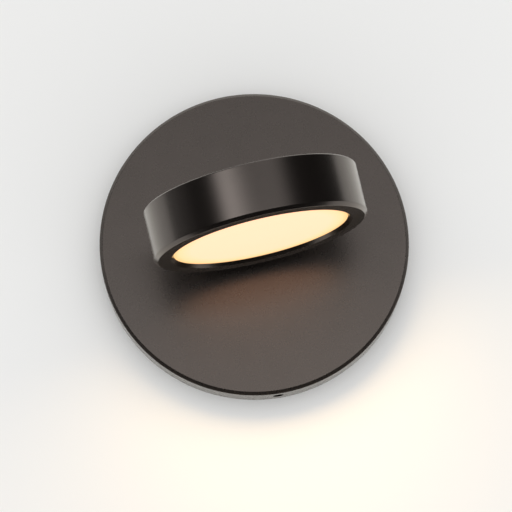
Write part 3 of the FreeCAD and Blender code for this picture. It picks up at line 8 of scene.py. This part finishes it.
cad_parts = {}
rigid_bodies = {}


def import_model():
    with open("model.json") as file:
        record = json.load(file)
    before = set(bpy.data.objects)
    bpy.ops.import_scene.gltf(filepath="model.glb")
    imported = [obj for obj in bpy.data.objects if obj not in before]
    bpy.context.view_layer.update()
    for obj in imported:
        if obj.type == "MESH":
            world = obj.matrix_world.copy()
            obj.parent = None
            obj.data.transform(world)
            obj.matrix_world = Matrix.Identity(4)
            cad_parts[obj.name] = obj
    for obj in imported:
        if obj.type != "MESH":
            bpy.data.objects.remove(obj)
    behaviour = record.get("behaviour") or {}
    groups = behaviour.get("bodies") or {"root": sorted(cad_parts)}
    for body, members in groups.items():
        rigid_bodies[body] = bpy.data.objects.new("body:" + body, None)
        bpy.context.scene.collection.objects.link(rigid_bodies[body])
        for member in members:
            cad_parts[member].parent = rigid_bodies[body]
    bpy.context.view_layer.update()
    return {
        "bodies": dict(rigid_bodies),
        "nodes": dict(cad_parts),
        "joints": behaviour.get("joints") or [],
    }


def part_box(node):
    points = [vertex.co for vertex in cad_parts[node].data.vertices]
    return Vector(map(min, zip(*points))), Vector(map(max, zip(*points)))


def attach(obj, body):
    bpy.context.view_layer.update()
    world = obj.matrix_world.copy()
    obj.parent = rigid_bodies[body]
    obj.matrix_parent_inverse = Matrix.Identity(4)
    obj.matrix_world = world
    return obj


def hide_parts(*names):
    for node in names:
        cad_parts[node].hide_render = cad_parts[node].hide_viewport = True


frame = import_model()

# A pivoting wall spotlight, put together from the wall outwards. Each piece is drawn in millimetres about
# its own middle, and a frame then carries it to its place in the model, in metres.


# ---------------------------------------------------------------------------------------------------
# Camera: a long lens a little below the light, nearly square on to it. The middle of the cover's face
# lies a little left of the picture's middle and a little above it.
# ---------------------------------------------------------------------------------------------------

def towards(azimuth, elevation):
    """The direction from the light to a place in the room, from two angles in degrees."""
    turn, rise = math.radians(azimuth), math.radians(elevation)
    return Vector((math.sin(turn) * math.cos(rise), -math.cos(turn) * math.cos(rise), math.sin(rise)))


camera_distance = 1.1
camera_azimuth = -0.33
camera_elevation = -12.95
camera_roll = math.radians(0.11)
camera_lens = 199.6
nearest_seen = 0.05
aim_right = 0.00067
aim_down = 0.00532

cover_low, cover_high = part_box("cover_plate")
face_middle = Vector((0, cover_low.y, 0))
outward = towards(camera_azimuth, camera_elevation)
right = Vector((0, 0, 1)).cross(outward).normalized()
up = outward.cross(right)
eye = face_middle + outward * camera_distance
aim = face_middle + right * aim_right - up * aim_down
scene = bpy.context.scene
camera = bpy.data.objects.new("camera", bpy.data.cameras.new("camera"))
scene.collection.objects.link(camera)
scene.camera = camera
camera.data.lens = camera_lens
camera.data.clip_start = nearest_seen
camera.location = eye
camera.rotation_mode = "QUATERNION"
camera.rotation_quaternion = (aim - eye).to_track_quat("-Z", "Y")
camera.rotation_quaternion @= Matrix.Rotation(camera_roll, 3, "Z").to_quaternion()


# ---------------------------------------------------------------------------------------------------
# Stage: a plain pale wall behind the light, a pale room and a soft lamp. The wall shows only from its
# front, so that the back of the light can be looked at too.
# ---------------------------------------------------------------------------------------------------

class Signal:
    """What comes out of a node. A sum or a product on it adds the Math node that works it out."""

    def __init__(self, tree, socket):
        self.tree = tree
        self.socket = socket

    def math(self, operation, *values):
        return self.tree.node("Math", {"operation": operation}, dict(enumerate(values)))

    def __add__(self, other):
        return self.math("ADD", self, other)

    def __mul__(self, other):
        return self.math("MULTIPLY", self, other)

    __radd__ = __add__
    __rmul__ = __mul__

    def __sub__(self, other):
        return self.math("SUBTRACT", self, other)

    def __rsub__(self, other):
        return self.math("SUBTRACT", other, self)

    def __truediv__(self, other):
        return self.math("DIVIDE", self, other)

    def __rtruediv__(self, other):
        return self.math("DIVIDE", other, self)


class Tree:
    """The nodes of a material or of the world."""

    def __init__(self, owner):
        owner.use_nodes = True
        self.owner = owner
        self.nodes = owner.node_tree.nodes
        self.links = owner.node_tree.links
        self.nodes.clear()

    def feed(self, socket, value):
        """Links a signal to a socket, or sets the socket to a plain value."""
        if isinstance(value, Signal):
            self.links.new(value.socket, socket)
        else:
            socket.default_value = value

    def node(self, kind, settings=None, inputs=None, output=0):
        """Adds a node, sets it up, then gives its sockets their values or links."""
        settings = dict(settings or {})
        stops = settings.pop("stops", ())
        made = self.nodes.new("ShaderNode" + kind)
        for name, value in settings.items():
            setattr(made, name, value)
        for position, colour in stops[2:]:
            made.color_ramp.elements.new(position)
        for element, (position, colour) in enumerate(stops):
            made.color_ramp.elements[element].position = position
            made.color_ramp.elements[element].color = (*colour, 1)
        for name, value in (inputs or {}).items():
            self.feed(made.inputs[name], value)
        return Signal(self, made.outputs[output]) if made.outputs else None


wall_colour = (0.88, 0.88, 0.87, 1)
wall_radius = 0.4
wall_gap = 0.0003
box_hole = 0.057
hole_sides = 64
bm = bmesh.new()
bmesh.ops.create_circle(bm, segments=hole_sides, radius=box_hole)
outer = bmesh.ops.extrude_edge_only(bm, edges=bm.edges[:])["geom"]
outer = [part for part in outer if isinstance(part, bmesh.types.BMVert)]
bmesh.ops.scale(bm, vec=(wall_radius / box_hole,) * 3, verts=outer)
bmesh.ops.recalc_face_normals(bm, faces=bm.faces)
if bm.faces[0].normal.z < 0:
    bmesh.ops.reverse_faces(bm, faces=bm.faces)
bmesh.ops.rotate(bm, verts=bm.verts, matrix=Matrix.Rotation(math.radians(90), 3, "X"))
bmesh.ops.translate(bm, verts=bm.verts, vec=(0, wall_gap, 0))
backdrop = bpy.data.objects.new("backdrop", bpy.data.meshes.new("backdrop"))
bm.to_mesh(backdrop.data)
bm.free()
scene.collection.objects.link(backdrop)
wall_paint = Tree(bpy.data.materials.new("pale_wall"))
painted = wall_paint.node("BsdfDiffuse", inputs={"Color": wall_colour})
unseen = wall_paint.node("BsdfTransparent")
from_behind = wall_paint.node("NewGeometry", output="Backfacing")
wall_surface = wall_paint.node("MixShader", inputs={0: from_behind, 1: painted, 2: unseen})
wall_paint.node("OutputMaterial", inputs={"Surface": wall_surface})
backdrop.data.materials.append(wall_paint.owner)

# The coat mirrors a room whose grey level changes with the turn about the upright, in degrees from the
# camera's side, and with the height, from 0 straight down to 1 straight up.
levels_around = (
    (-180, 1.0), (-125, 0.6), (-100, 0.20), (-80, 0.10), (-66, 0.02), (-49, 0.02), (-42, 0.18), (-35, 0.95),
    (-28, 1.45), (-16, 1.10), (-8, 0.80), (0, 0.82), (16, 1.30), (24, 1.25), (31, 0.70), (38, 0.15),
    (47, 0.02), (72, 0.01), (86, 0.04), (100, 0.12), (125, 0.6), (180, 1.0),
)
levels_upward = (
    (0.0, 0.02), (0.42, 0.10), (0.48, 1.2), (0.53, 2.2), (0.575, 2.4), (0.60, 1.1), (0.62, 0.42),
    (0.68, 0.50), (0.74, 0.8), (0.85, 1.0), (1.0, 0.7),
)
brightest_around = 1.5
brightest_upward = 2.4
behind_start = 0.3
behind_colour = (0.2, 0.2, 0.2, 1)
shade_colour = (0.96, 0.96, 0.96, 1)
plain_colour = (0.82, 0.82, 0.81, 1)

scene.world = bpy.data.worlds.new("room")
room = Tree(scene.world)
direction = room.node("TexCoord", output="Generated")
along = {axis: room.node("SeparateXYZ", inputs={0: direction}, output=axis) for axis in "XYZ"}
azimuth = along["X"].math("ARCTAN2", along["X"], along["Y"] * -1) / math.tau + 0.5
around = room.node("ValToRGB", {"stops": [
    (0.5 + turn / 360, (level / brightest_around,) * 3) for turn, level in levels_around
]}, {0: azimuth})
upward = room.node("ValToRGB", {"stops": [
    (height, (level / brightest_upward,) * 3) for height, level in levels_upward
]}, {0: along["Z"] * 0.5 + 0.5})
product = {"data_type": "RGBA", "blend_type": "MULTIPLY"}
mirrored = room.node("Mix", product, {0: 1.0, 6: around, 7: upward}, 2)
behind = along["Y"].math("GREATER_THAN", along["Y"], behind_start)
mirrored = room.node("Mix", {"data_type": "RGBA"}, {0: behind, 6: mirrored, 7: behind_colour}, 2)
ray = {kind: room.node("LightPath", output=f"Is {kind} Ray") for kind in ("Camera", "Glossy")}
shine = room.node("Background", inputs={"Color": mirrored, "Strength": brightest_around * brightest_upward})
shade = room.node("Background", inputs={"Color": shade_colour, "Strength": 1.0})
plain = room.node("Background", inputs={"Color": plain_colour, "Strength": 1.0})
lighting = room.node("MixShader", inputs={0: ray["Glossy"], 1: shade, 2: shine})
surroundings = room.node("MixShader", inputs={0: ray["Camera"], 1: lighting, 2: plain})
room.node("OutputWorld", inputs={"Surface": surroundings})

lamp_azimuth = 15
lamp_elevation = 72
lamp_distance = 2.0
lamp_width = 1.2
lamp_glow = 0.7
to_lamp = towards(lamp_azimuth, lamp_elevation)
top_lamp = bpy.data.objects.new("top_lamp", bpy.data.lights.new("top_lamp", "AREA"))
top_lamp.data.shape = "SQUARE"
top_lamp.data.size = lamp_width
top_lamp.data.energy = lamp_glow * lamp_width * lamp_width * math.pi
top_lamp.location = to_lamp * lamp_distance
top_lamp.rotation_mode = "QUATERNION"
top_lamp.rotation_quaternion = (-to_lamp).to_track_quat("-Z", "Y")
scene.collection.objects.link(top_lamp)
scene.view_settings.view_transform = "Standard"


# ---------------------------------------------------------------------------------------------------
# Wall bracket: a pressed steel disc on the wall, with two folded ears that hold the cover. It is bright
# zinc plated, which leaves faint soft blotches.
# ---------------------------------------------------------------------------------------------------

class Finish(Tree):
    """One surface finish, whose patterns are measured in millimetres."""

    def __init__(self, name, **values):
        super().__init__(bpy.data.materials.new(name))
        surface = self.node("BsdfPrincipled")
        self.shader = surface.socket.node
        self.node("OutputMaterial", inputs={"Surface": surface})
        self.place = self.node("TexCoord", output="Object")
        self.set(**values)

    def set(self, **values):
        """Feeds the surface's sockets, each by its name in small letters."""
        for name, value in values.items():
            self.feed(self.shader.inputs[name.replace("_", " ").title().replace("Ior", "IOR")], value)

    def noise(self, size, detail=2.0):
        """A soft random pattern from 0 to 1, with blotches of about a size."""
        return self.node("TexNoise", inputs={"Vector": self.place, "Scale": 1000 / size, "Detail": detail})

    def blend(self, share, first, second):
        """A colour between two, by a share that varies over the surface."""
        inputs = {0: share, 6: (*first, 1), 7: (*second, 1)}
        return self.node("Mix", {"data_type": "RGBA"}, inputs, 2)

    def relief(self, height, depth):
        """A fine relief of so many millimetres."""
        self.set(normal=self.node("Bump", inputs={"Height": height, "Distance": depth / 1000}))

    def dress(self, colours, roughness, blotch, grain, depth):
        """Blotches between two colours, a roughness between two values, and a fine grain."""
        smooth, rough = roughness
        self.set(base_color=self.blend(self.noise(blotch, 3), *colours))
        self.set(roughness=self.noise(2 * grain) * (rough - smooth) + smooth)
        self.relief(self.noise(grain), depth)

    def coat(self, *nodes):
        """Puts the finish on pieces that keep their first shape."""
        for name in nodes:
            mesh = frame["nodes"][name].data
            mesh.materials.clear()
            mesh.materials.append(self.owner)


zinc = Finish("zinc_steel", metallic=1.0)
zinc.dress(
    colours=((0.56, 0.575, 0.60), (0.68, 0.685, 0.68)), roughness=(0.24, 0.40),
    blotch=5, grain=0.6, depth=0.01,
)
zinc.coat(
    "wall_bracket", "earth_screw", "earth_washer", "terminal_screws", "terminal_fixing_screw", "stop_pin",
    "stop_washer", "swivel_spring_washer", "swivel_nut", "hinge_spring_washers", "hinge_nuts",
    "hinge_bracket", "hinge_bracket_screws", "retaining_ring", "board_screws", "cable_clamp_screw",
)


# ---------------------------------------------------------------------------------------------------
# Supply side: a rubber grommet in the bracket's window and a moulded nylon terminal block with brass
# inserts. The light's own round cable ends there, its two cores stripped of the sheath.
# ---------------------------------------------------------------------------------------------------

rubber = Finish("black_rubber")
rubber.dress(
    colours=((0.022, 0.022, 0.022), (0.038, 0.037, 0.036)), roughness=(0.60, 0.75),
    blotch=4, grain=0.4, depth=0.02,
)
rubber.coat("cable_grommet")

nylon = Finish("white_nylon", subsurface_weight=0.1, subsurface_scale=0.002)
nylon.dress(
    colours=((0.78, 0.77, 0.73), (0.85, 0.84, 0.81)), roughness=(0.38, 0.50),
    blotch=6, grain=0.5, depth=0.01,
)
nylon.coat(
    "terminal_block", "outer_friction_washer", "inner_friction_washer", "hinge_friction_washers",
    "board_connector", "cable_clamp",
)

brass = Finish("brass", metallic=1.0)
brass.dress(
    colours=((0.66, 0.49, 0.23), (0.76, 0.59, 0.31)), roughness=(0.22, 0.36),
    blotch=3, grain=0.3, depth=0.008,
)
brass.coat("terminal_inserts", "cover_pillars", "board_posts")

sheath = Finish("black_sheath")
sheath.dress(
    colours=((0.032, 0.032, 0.033), (0.048, 0.047, 0.046)), roughness=(0.45, 0.60),
    blotch=5, grain=0.5, depth=0.015,
)
sheath.coat("canopy_cable", "post_cable", "head_cable")

core = Finish("core_wires")
core.dress(
    colours=((0.44, 0.10, 0.065), (0.54, 0.14, 0.09)), roughness=(0.35, 0.50),
    blotch=2, grain=0.3, depth=0.008,
)
core.coat("canopy_cores", "led_leads")


# ---------------------------------------------------------------------------------------------------
# Cover plate: a cup spun from aluminium sheet, with a broken front edge and two tapped bosses inside its
# rim. It is coated in a satin dark bronze, sprayed, so its face is very slightly rippled.
# ---------------------------------------------------------------------------------------------------

MM = Matrix.Scale(0.001, 4)
OUT_OF_WALL = Matrix.Rotation(math.radians(90), 4, "X")
Z_TO_Y = Matrix.Rotation(math.radians(-90), 4, "X")
Z_TO_X = Matrix.Rotation(math.radians(90), 4, "Y")
ear_turn = math.radians(9)
EARS = Matrix.Rotation(-ear_turn, 4, "Y") @ OUT_OF_WALL @ MM

seam_gap = 0.0001
join_gap = 0.0005
sharpest_smooth = math.radians(30)
bevel_steps = 2
past = 1.0
hair = 0.01


def turned(profile, steps, closed=True):
    """A round solid about the z axis, from its outline as pairs of radius and height."""
    bm = bmesh.new()
    corners = [bm.verts.new((radius, 0, height)) for radius, height in profile]
    edges = [bm.edges.new(pair) for pair in zip(corners, corners[1:] + corners[:1] * closed)]
    bmesh.ops.spin(
        bm, geom=corners + edges, axis=(0, 0, 1), cent=(0, 0, 0), angle=math.tau, steps=steps, use_merge=True
    )
    bmesh.ops.remove_doubles(bm, verts=bm.verts, dist=seam_gap)
    bmesh.ops.recalc_face_normals(bm, faces=bm.faces)
    return bm


def bar(diameter, start, end, place=(0, 0), sides=48, tip=None, turn=Matrix()):
    """A round bar along z between two heights, about a place; a tip diameter makes it a cone."""
    bm = bmesh.new()
    middle = Matrix.Translation((*place, (start + end) / 2))
    bmesh.ops.create_cone(
        bm, cap_ends=True, segments=sides, radius1=diameter / 2,
        radius2=(diameter if tip is None else tip) / 2, depth=end - start, matrix=turn @ middle,
    )
    return bm


def block(low, high):
    """A box between two corners."""
    bm = bmesh.new()
    low, high = Vector(low), Vector(high)
    size = Matrix.Diagonal((*(high - low), 1))
    bmesh.ops.create_cube(bm, size=1, matrix=Matrix.Translation((low + high) / 2) @ size)
    return bm


def join(whole, *tools, operation="UNION"):
    """One solid of several that overlap."""
    blanks = []
    for bm in (whole, *tools):
        blank = bpy.data.objects.new("blank", bpy.data.meshes.new("blank"))
        bm.to_mesh(blank.data)
        bm.free()
        scene.collection.objects.link(blank)
        blanks.append(blank)
    for tool in blanks[1:]:
        step = blanks[0].modifiers.new("step", "BOOLEAN")
        step.operation = operation
        step.solver = "EXACT"
        step.object = tool
    bpy.context.view_layer.update()
    shape = bpy.data.meshes.new_from_object(blanks[0].evaluated_get(bpy.context.evaluated_depsgraph_get()))
    bm = bmesh.new()
    bm.from_mesh(shape)
    bpy.data.meshes.remove(shape)
    for blank in blanks:
        bpy.data.meshes.remove(blank.data)
    bmesh.ops.remove_doubles(bm, verts=bm.verts, dist=join_gap)
    return bm


def cut(whole, *tools):
    """What is left of a solid once tools are taken away."""
    return join(whole, *tools, operation="DIFFERENCE")


def piece(name, bm, carried_by, body, finish, node, edge):
    """Puts a solid in its place as a finished piece, its edges broken and evenly shaded."""
    bmesh.ops.transform(bm, matrix=carried_by, verts=bm.verts)
    mesh = bpy.data.meshes.new(name)
    bm.to_mesh(mesh)
    bm.free()
    mesh.shade_smooth()
    made = bpy.data.objects.new(name, mesh)
    scene.collection.objects.link(made)
    broken = made.modifiers.new("broken_edges", "BEVEL")
    broken.width = edge / 1000
    broken.segments = bevel_steps
    broken.limit_method = "ANGLE"
    broken.angle_limit = sharpest_smooth
    broken.use_clamp_overlap = False
    even = made.modifiers.new("even_shading", "WEIGHTED_NORMAL")
    even.keep_sharp = True
    mesh.materials.append(finish.owner)
    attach(made, body)
    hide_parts(node)


coat_weight = 0.9
coat_tint = (1.0, 0.95, 0.86, 1)
flake_colours = ((0.053, 0.041, 0.034), (0.062, 0.048, 0.041))
flake_blotch = 9
sheen_blotch = 3
sheen_change = 0.05
sheen_start = 0.02
fine_ripple = 0.45
broad_ripple = 1.6
broad_share = 0.8
ripple_depth = 0.005


def bronze_coat(name, roughness, metallic):
    """The satin dark bronze of every coated piece: a clear coat over dark metal flake."""
    bronze = Finish(name, metallic=metallic, coat_weight=coat_weight, coat_roughness=roughness)
    bronze.set(specular_tint=coat_tint)
    bronze.set(base_color=bronze.blend(bronze.noise(flake_blotch, 3), *flake_colours))
    bronze.set(roughness=bronze.noise(sheen_blotch) * sheen_change + roughness - sheen_start)
    bronze.relief(bronze.noise(fine_ripple) + bronze.noise(broad_ripple, 1) * broad_share, ripple_depth)
    return bronze


sprayed = bronze_coat("sprayed_bronze", roughness=0.27, metallic=0.90)
plate_radius = 60.0
plate_depth = 11.0
plate_wall = 1.6
plate_chamfer = 1.2
plate_steps = 192
shank_hole = 5.1
boss_width = 6.6
boss_reach = (54.6, 59.2)
grub_depth = 5.5
grub_hole = 4.1
stop_pin_radius = 11.0
stop_pin_hole = 2.5
stop_pin_seat = 0.8

inside = plate_depth - plate_wall
cup = turned((
    (shank_hole, plate_depth),
    (plate_radius - plate_chamfer, plate_depth),
    (plate_radius, plate_depth - plate_chamfer),
    (plate_radius, 0),
    (plate_radius - plate_wall, 0),
    (plate_radius - plate_wall, inside),
    (shank_hole, inside),
), steps=plate_steps)
along_ears = Matrix.Translation((0, 0, grub_depth)) @ Z_TO_Y
bosses = [bar(boss_width, side * boss_reach[0], side * boss_reach[1], turn=along_ears) for side in (1, -1)]
cup = join(cup, *bosses)
grub_bore = bar(grub_hole, -plate_radius - past, plate_radius + past, turn=along_ears)
pin_seat = bar(stop_pin_hole, inside - past, inside + stop_pin_seat, (0, stop_pin_radius))
cup = cut(cup, grub_bore, pin_seat)
piece("cover_cup", cup, EARS, "wall_body", sprayed, "cover_plate", edge=0.1)

grub_width = 4.0
grub_length = 5.4
grub_top = plate_radius - 1.0
grub_socket = 2.0
grub_socket_depth = 2.2
across_corners = 1 / math.cos(math.radians(30))
blackened = Finish("dark_screws", metallic=0.9)
blackened.dress(
    colours=((0.042, 0.038, 0.036), (0.058, 0.052, 0.048)), roughness=(0.32, 0.47),
    blotch=1.5, grain=0.3, depth=0.008,
)
grub_screws = []
for side in (1, -1):
    thread = sorted((side * grub_top, side * (grub_top - grub_length)))
    socket = sorted((side * (grub_top + past), side * (grub_top - grub_socket_depth)))
    grub_screws.append(cut(
        bar(grub_width, *thread, turn=along_ears),
        bar(grub_socket * across_corners, *socket, turn=along_ears, sides=6),
    ))
piece(
    "grub_screw_pair", join(*grub_screws), EARS, "wall_body", blackened, "cover_grub_screws",
    edge=0.08,
)


# ---------------------------------------------------------------------------------------------------
# Post: one turned and cross-drilled piece, a hollow threaded shank through the cover, a flange that
# bears on it, a stem and a cross barrel with a trunnion at each end. It is coated as the cover is.
# ---------------------------------------------------------------------------------------------------

tilt = next(joint for joint in frame["joints"] if joint["name"] == "tilt")
head_turn = math.atan2(-tilt["axis"][2], -tilt["axis"][0])
HEAD_TURN = Matrix.Rotation(-head_turn, 4, "Y")
POST = HEAD_TURN @ OUT_OF_WALL @ MM

smooth_coat = bronze_coat("smooth_bronze", roughness=0.22, metallic=0.95)
pin_depth = 28.5
post_steps = 64
shank_radius = 5.0
shank_end = 4.6
shank_flat = 8.6
shank_flat_end = 9.3
flat_cut = 9.0
flange_back = 11.5
flange_radius = 7.8
flange_front = 13.9
flange_chamfer = 0.6
stem_radius = 4.0
barrel_width = 8.2
barrel_reach = 6.0
trunnion_width = 6.0
trunnion_reach = 11.55
cable_bore = 3.8

turning = turned((
    (0, shank_end),
    (shank_radius, shank_end),
    (shank_radius, flange_back),
    (flange_radius, flange_back),
    (flange_radius, flange_front - flange_chamfer),
    (flange_radius - flange_chamfer, flange_front),
    (stem_radius, flange_front),
    (stem_radius, pin_depth),
    (0, pin_depth),
), steps=post_steps, closed=False)
across = Matrix.Translation((0, 0, pin_depth)) @ Z_TO_X
turning = join(
    turning,
    bar(barrel_width, -barrel_reach, barrel_reach, turn=across, sides=post_steps),
    bar(trunnion_width, -trunnion_reach, trunnion_reach, turn=across, sides=post_steps),
)
flats = []
for side in (-1, 1):
    left, right = sorted((side * shank_flat / 2, side * (shank_flat / 2 + flat_cut)))
    flats.append(block((left, -flat_cut, shank_end - past), (right, flat_cut, shank_flat_end)))
turning = cut(
    turning, *flats,
    bar(cable_bore, shank_end - past, pin_depth),
    bar(cable_bore, -hair, trunnion_reach + past, turn=across),
)
piece("post_turning", turning, POST, "swivel_post", smooth_coat, "pivot_post", edge=0.08)


# ---------------------------------------------------------------------------------------------------
# Head shell: a ring turned from aluminium tube, with a flared lip round the light, a stepped bore for
# the light's parts and a slot for the stem. It is coated as the cover is.
# ---------------------------------------------------------------------------------------------------

pin_offset = 32.0
pin_height = 10.7
HEAD = Matrix.Translation(tilt["pos_m"]) @ HEAD_TURN @ MM @ Matrix.Translation((0, -pin_offset, -pin_height))

head_radius = 40.5
head_height = 19.6
head_chamfer = 1.3
head_steps = 192
back_edge = 0.4
head_bore = 38.8
light_bore = 38.0
opening = 33.0
flare = 1.2
lip = 1.4
chassis_start = 4.6
chassis_top = 6.2
groove_depth = 0.5
groove_top = 7.15
slot_half = 4.4
slot_start = 20.0
slot_end = 45.0

shell = turned((
    (opening + flare, 0),
    (head_radius - head_chamfer, 0),
    (head_radius, head_chamfer),
    (head_radius, head_height - back_edge),
    (head_radius - back_edge, head_height),
    (head_bore, head_height),
    (head_bore, groove_top),
    (head_bore + groove_depth, groove_top),
    (head_bore + groove_depth, chassis_top),
    (head_bore, chassis_top),
    (head_bore, chassis_start),
    (light_bore, chassis_start),
    (light_bore, lip),
    (opening, lip),
), steps=head_steps)
slot_round = bar(2 * slot_half, slot_start, slot_end, (0, -pin_height), turn=Z_TO_Y)
slot_open = block((-slot_half, slot_start, pin_height), (slot_half, slot_end, head_height + past))
shell = cut(shell, slot_round, slot_open)
piece("head_shell", shell, HEAD, "lamp_head", smooth_coat, "head_housing", edge=0.12)


# ---------------------------------------------------------------------------------------------------
# Light: a milky acrylic disc behind the lip, lit from behind by a light guide with light-emitting diodes
# all round its edge. The lit disc is even, and a little more amber towards its edge.
# ---------------------------------------------------------------------------------------------------

diffuser_radius = 37.8
diffuser_thickness = 1.0
diffuser_sides = 128
disc_glow = 1.4
lit_colours = (
    (0.0, (1.0, 0.565, 0.365)), (0.80, (1.0, 0.56, 0.355)),
    (0.93, (0.97, 0.545, 0.28)), (1.0, (0.72, 0.45, 0.17)),
)
opal = Finish("opal", roughness=0.4, base_color=(0.12, 0.10, 0.08, 1), emission_strength=disc_glow)
middle = opal.node("VectorMath", {"operation": "SUBTRACT"}, {0: opal.place, 1: HEAD @ Vector((0, 0, lip))})
from_middle = opal.node("VectorMath", {"operation": "LENGTH"}, {0: middle}, "Value") * (1000 / opening)
opal.set(emission_color=opal.node("ValToRGB", {"stops": lit_colours}, {0: from_middle}))
disc = bar(2 * diffuser_radius, lip, lip + diffuser_thickness, sides=diffuser_sides)
piece("opal_disc", disc, HEAD, "lamp_head", opal, "diffuser", edge=0.1)

own_glow = 7.5
own_radius = 32.0
own_gap = 0.1
own_colour = (1.0, 0.72, 0.34)
own_spread = math.radians(162)
own_light = bpy.data.objects.new("own_light", bpy.data.lights.new("own_light", "AREA"))
own_light.data.shape = "DISK"
own_light.data.size = 2 * own_radius / 1000
own_light.data.energy = own_glow * (math.pi * own_radius / 1000) ** 2
own_light.data.color = own_colour
own_light.data.spread = own_spread
own_light.matrix_world = HEAD_TURN.copy()
own_light.matrix_world.translation = HEAD @ Vector((0, 0, lip - own_gap))
own_light.visible_camera = False
own_light.visible_glossy = False
own_light.parent = frame["bodies"]["lamp_head"]
scene.collection.objects.link(own_light)

acrylic = Finish("clear_acrylic", transmission_weight=0.65, ior=1.49)
acrylic.dress(
    colours=((0.91, 0.95, 0.95), (0.95, 0.97, 0.97)), roughness=(0.05, 0.12),
    blotch=20, grain=0.8, depth=0.004,
)
acrylic.coat("light_guide")

film = Finish("white_film")
film.dress(
    colours=((0.90, 0.90, 0.90), (0.95, 0.95, 0.94)), roughness=(0.35, 0.50),
    blotch=15, grain=0.8, depth=0.005,
)
film.coat("reflector_sheet", "led_strip")

phosphor = Finish("led_phosphor")
phosphor.dress(
    colours=((0.90, 0.72, 0.21), (0.98, 0.82, 0.30)), roughness=(0.35, 0.55),
    blotch=1, grain=0.2, depth=0.01,
)
phosphor.coat("led_chips")


# ---------------------------------------------------------------------------------------------------
# Chassis and driver: a sheet aluminium plate held by a spring ring, and on it a green glass-fibre board
# with a taped transformer, capacitors, a choke, a rectifier, a chip and a ceramic fuse.
# ---------------------------------------------------------------------------------------------------

bare = Finish("aluminium", metallic=1.0)
bare.dress(
    colours=((0.70, 0.71, 0.72), (0.78, 0.79, 0.80)), roughness=(0.28, 0.42),
    blotch=8, grain=0.4, depth=0.008,
)
bare.coat("chassis_plate", "electrolytic_capacitor", "output_capacitor")

board = Finish("green_board", specular_ior_level=0.6)
board.dress(
    colours=((0.04, 0.18, 0.08), (0.065, 0.26, 0.12)), roughness=(0.25, 0.40),
    blotch=3, grain=0.4, depth=0.01,
)
board.coat("driver_board")

ferrite = Finish("ferrite")
ferrite.dress(
    colours=((0.038, 0.038, 0.040), (0.062, 0.060, 0.060)), roughness=(0.50, 0.70),
    blotch=2, grain=0.3, depth=0.02,
)
ferrite.coat("transformer_core", "choke", "bridge_rectifier", "driver_chip")

tape = Finish("yellow_tape")
tape.dress(
    colours=((0.80, 0.61, 0.08), (0.89, 0.71, 0.13)), roughness=(0.25, 0.40),
    blotch=4, grain=0.5, depth=0.01,
)
tape.coat("transformer_bobbin", "film_capacitor")

ceramic = Finish("fuse_ceramic")
ceramic.dress(
    colours=((0.81, 0.80, 0.75), (0.88, 0.87, 0.84)), roughness=(0.35, 0.50),
    blotch=2, grain=0.3, depth=0.01,
)
ceramic.coat("fuse")


# ---------------------------------------------------------------------------------------------------
# Back cover: a disc of sheet that closes the head, held by four countersunk screws, with a slot for the
# tilted stem. It is coated as the cover is.
# ---------------------------------------------------------------------------------------------------

back_radius = 38.65
back_start = 18.0
pillar_circle = 34.0
pillar_angles = (45, 135, 225, 315)
screw_width = 2.6
sink_width = 4.7
sink_depth = 1.05
lid_top = head_height + past
lid = bar(2 * back_radius, back_start, head_height, sides=head_steps)
lid_cuts = [
    bar(2 * slot_half, back_start - past, lid_top, (0, pin_offset)),
    block((-slot_half, pin_offset, back_start - past), (slot_half, slot_end, lid_top)),
]
screw_places = [
    (pillar_circle * math.cos(math.radians(angle)), pillar_circle * math.sin(math.radians(angle)))
    for angle in pillar_angles
]
for place in screw_places:
    lid_cuts.append(bar(screw_width, back_start - past, lid_top, place))
    lid_cuts.append(bar(screw_width, head_height - sink_depth, head_height + hair, place, tip=sink_width))
lid = cut(lid, *lid_cuts)
piece("back_disc", lid, HEAD, "lamp_head", smooth_coat, "back_cover", edge=0.12)

thread_width = 2.5
thread_length = 5.0
sunk_head = 4.6
sunk_depth = 1.1
lid_socket = 1.5
lid_socket_depth = 0.9
lid_screws = []
for place in screw_places:
    threaded = bar(thread_width, head_height - thread_length, head_height - sunk_depth, place)
    sunk = bar(thread_width, head_height - sunk_depth, head_height, place, tip=sunk_head)
    key_hole = bar(
        lid_socket * across_corners, head_height - lid_socket_depth, lid_top, place, sides=6
    )
    lid_screws.append(cut(join(threaded, sunk), key_hole))
piece(
    "lid_screws", join(*lid_screws), HEAD, "lamp_head", blackened, "back_cover_screws",
    edge=0.06,
)
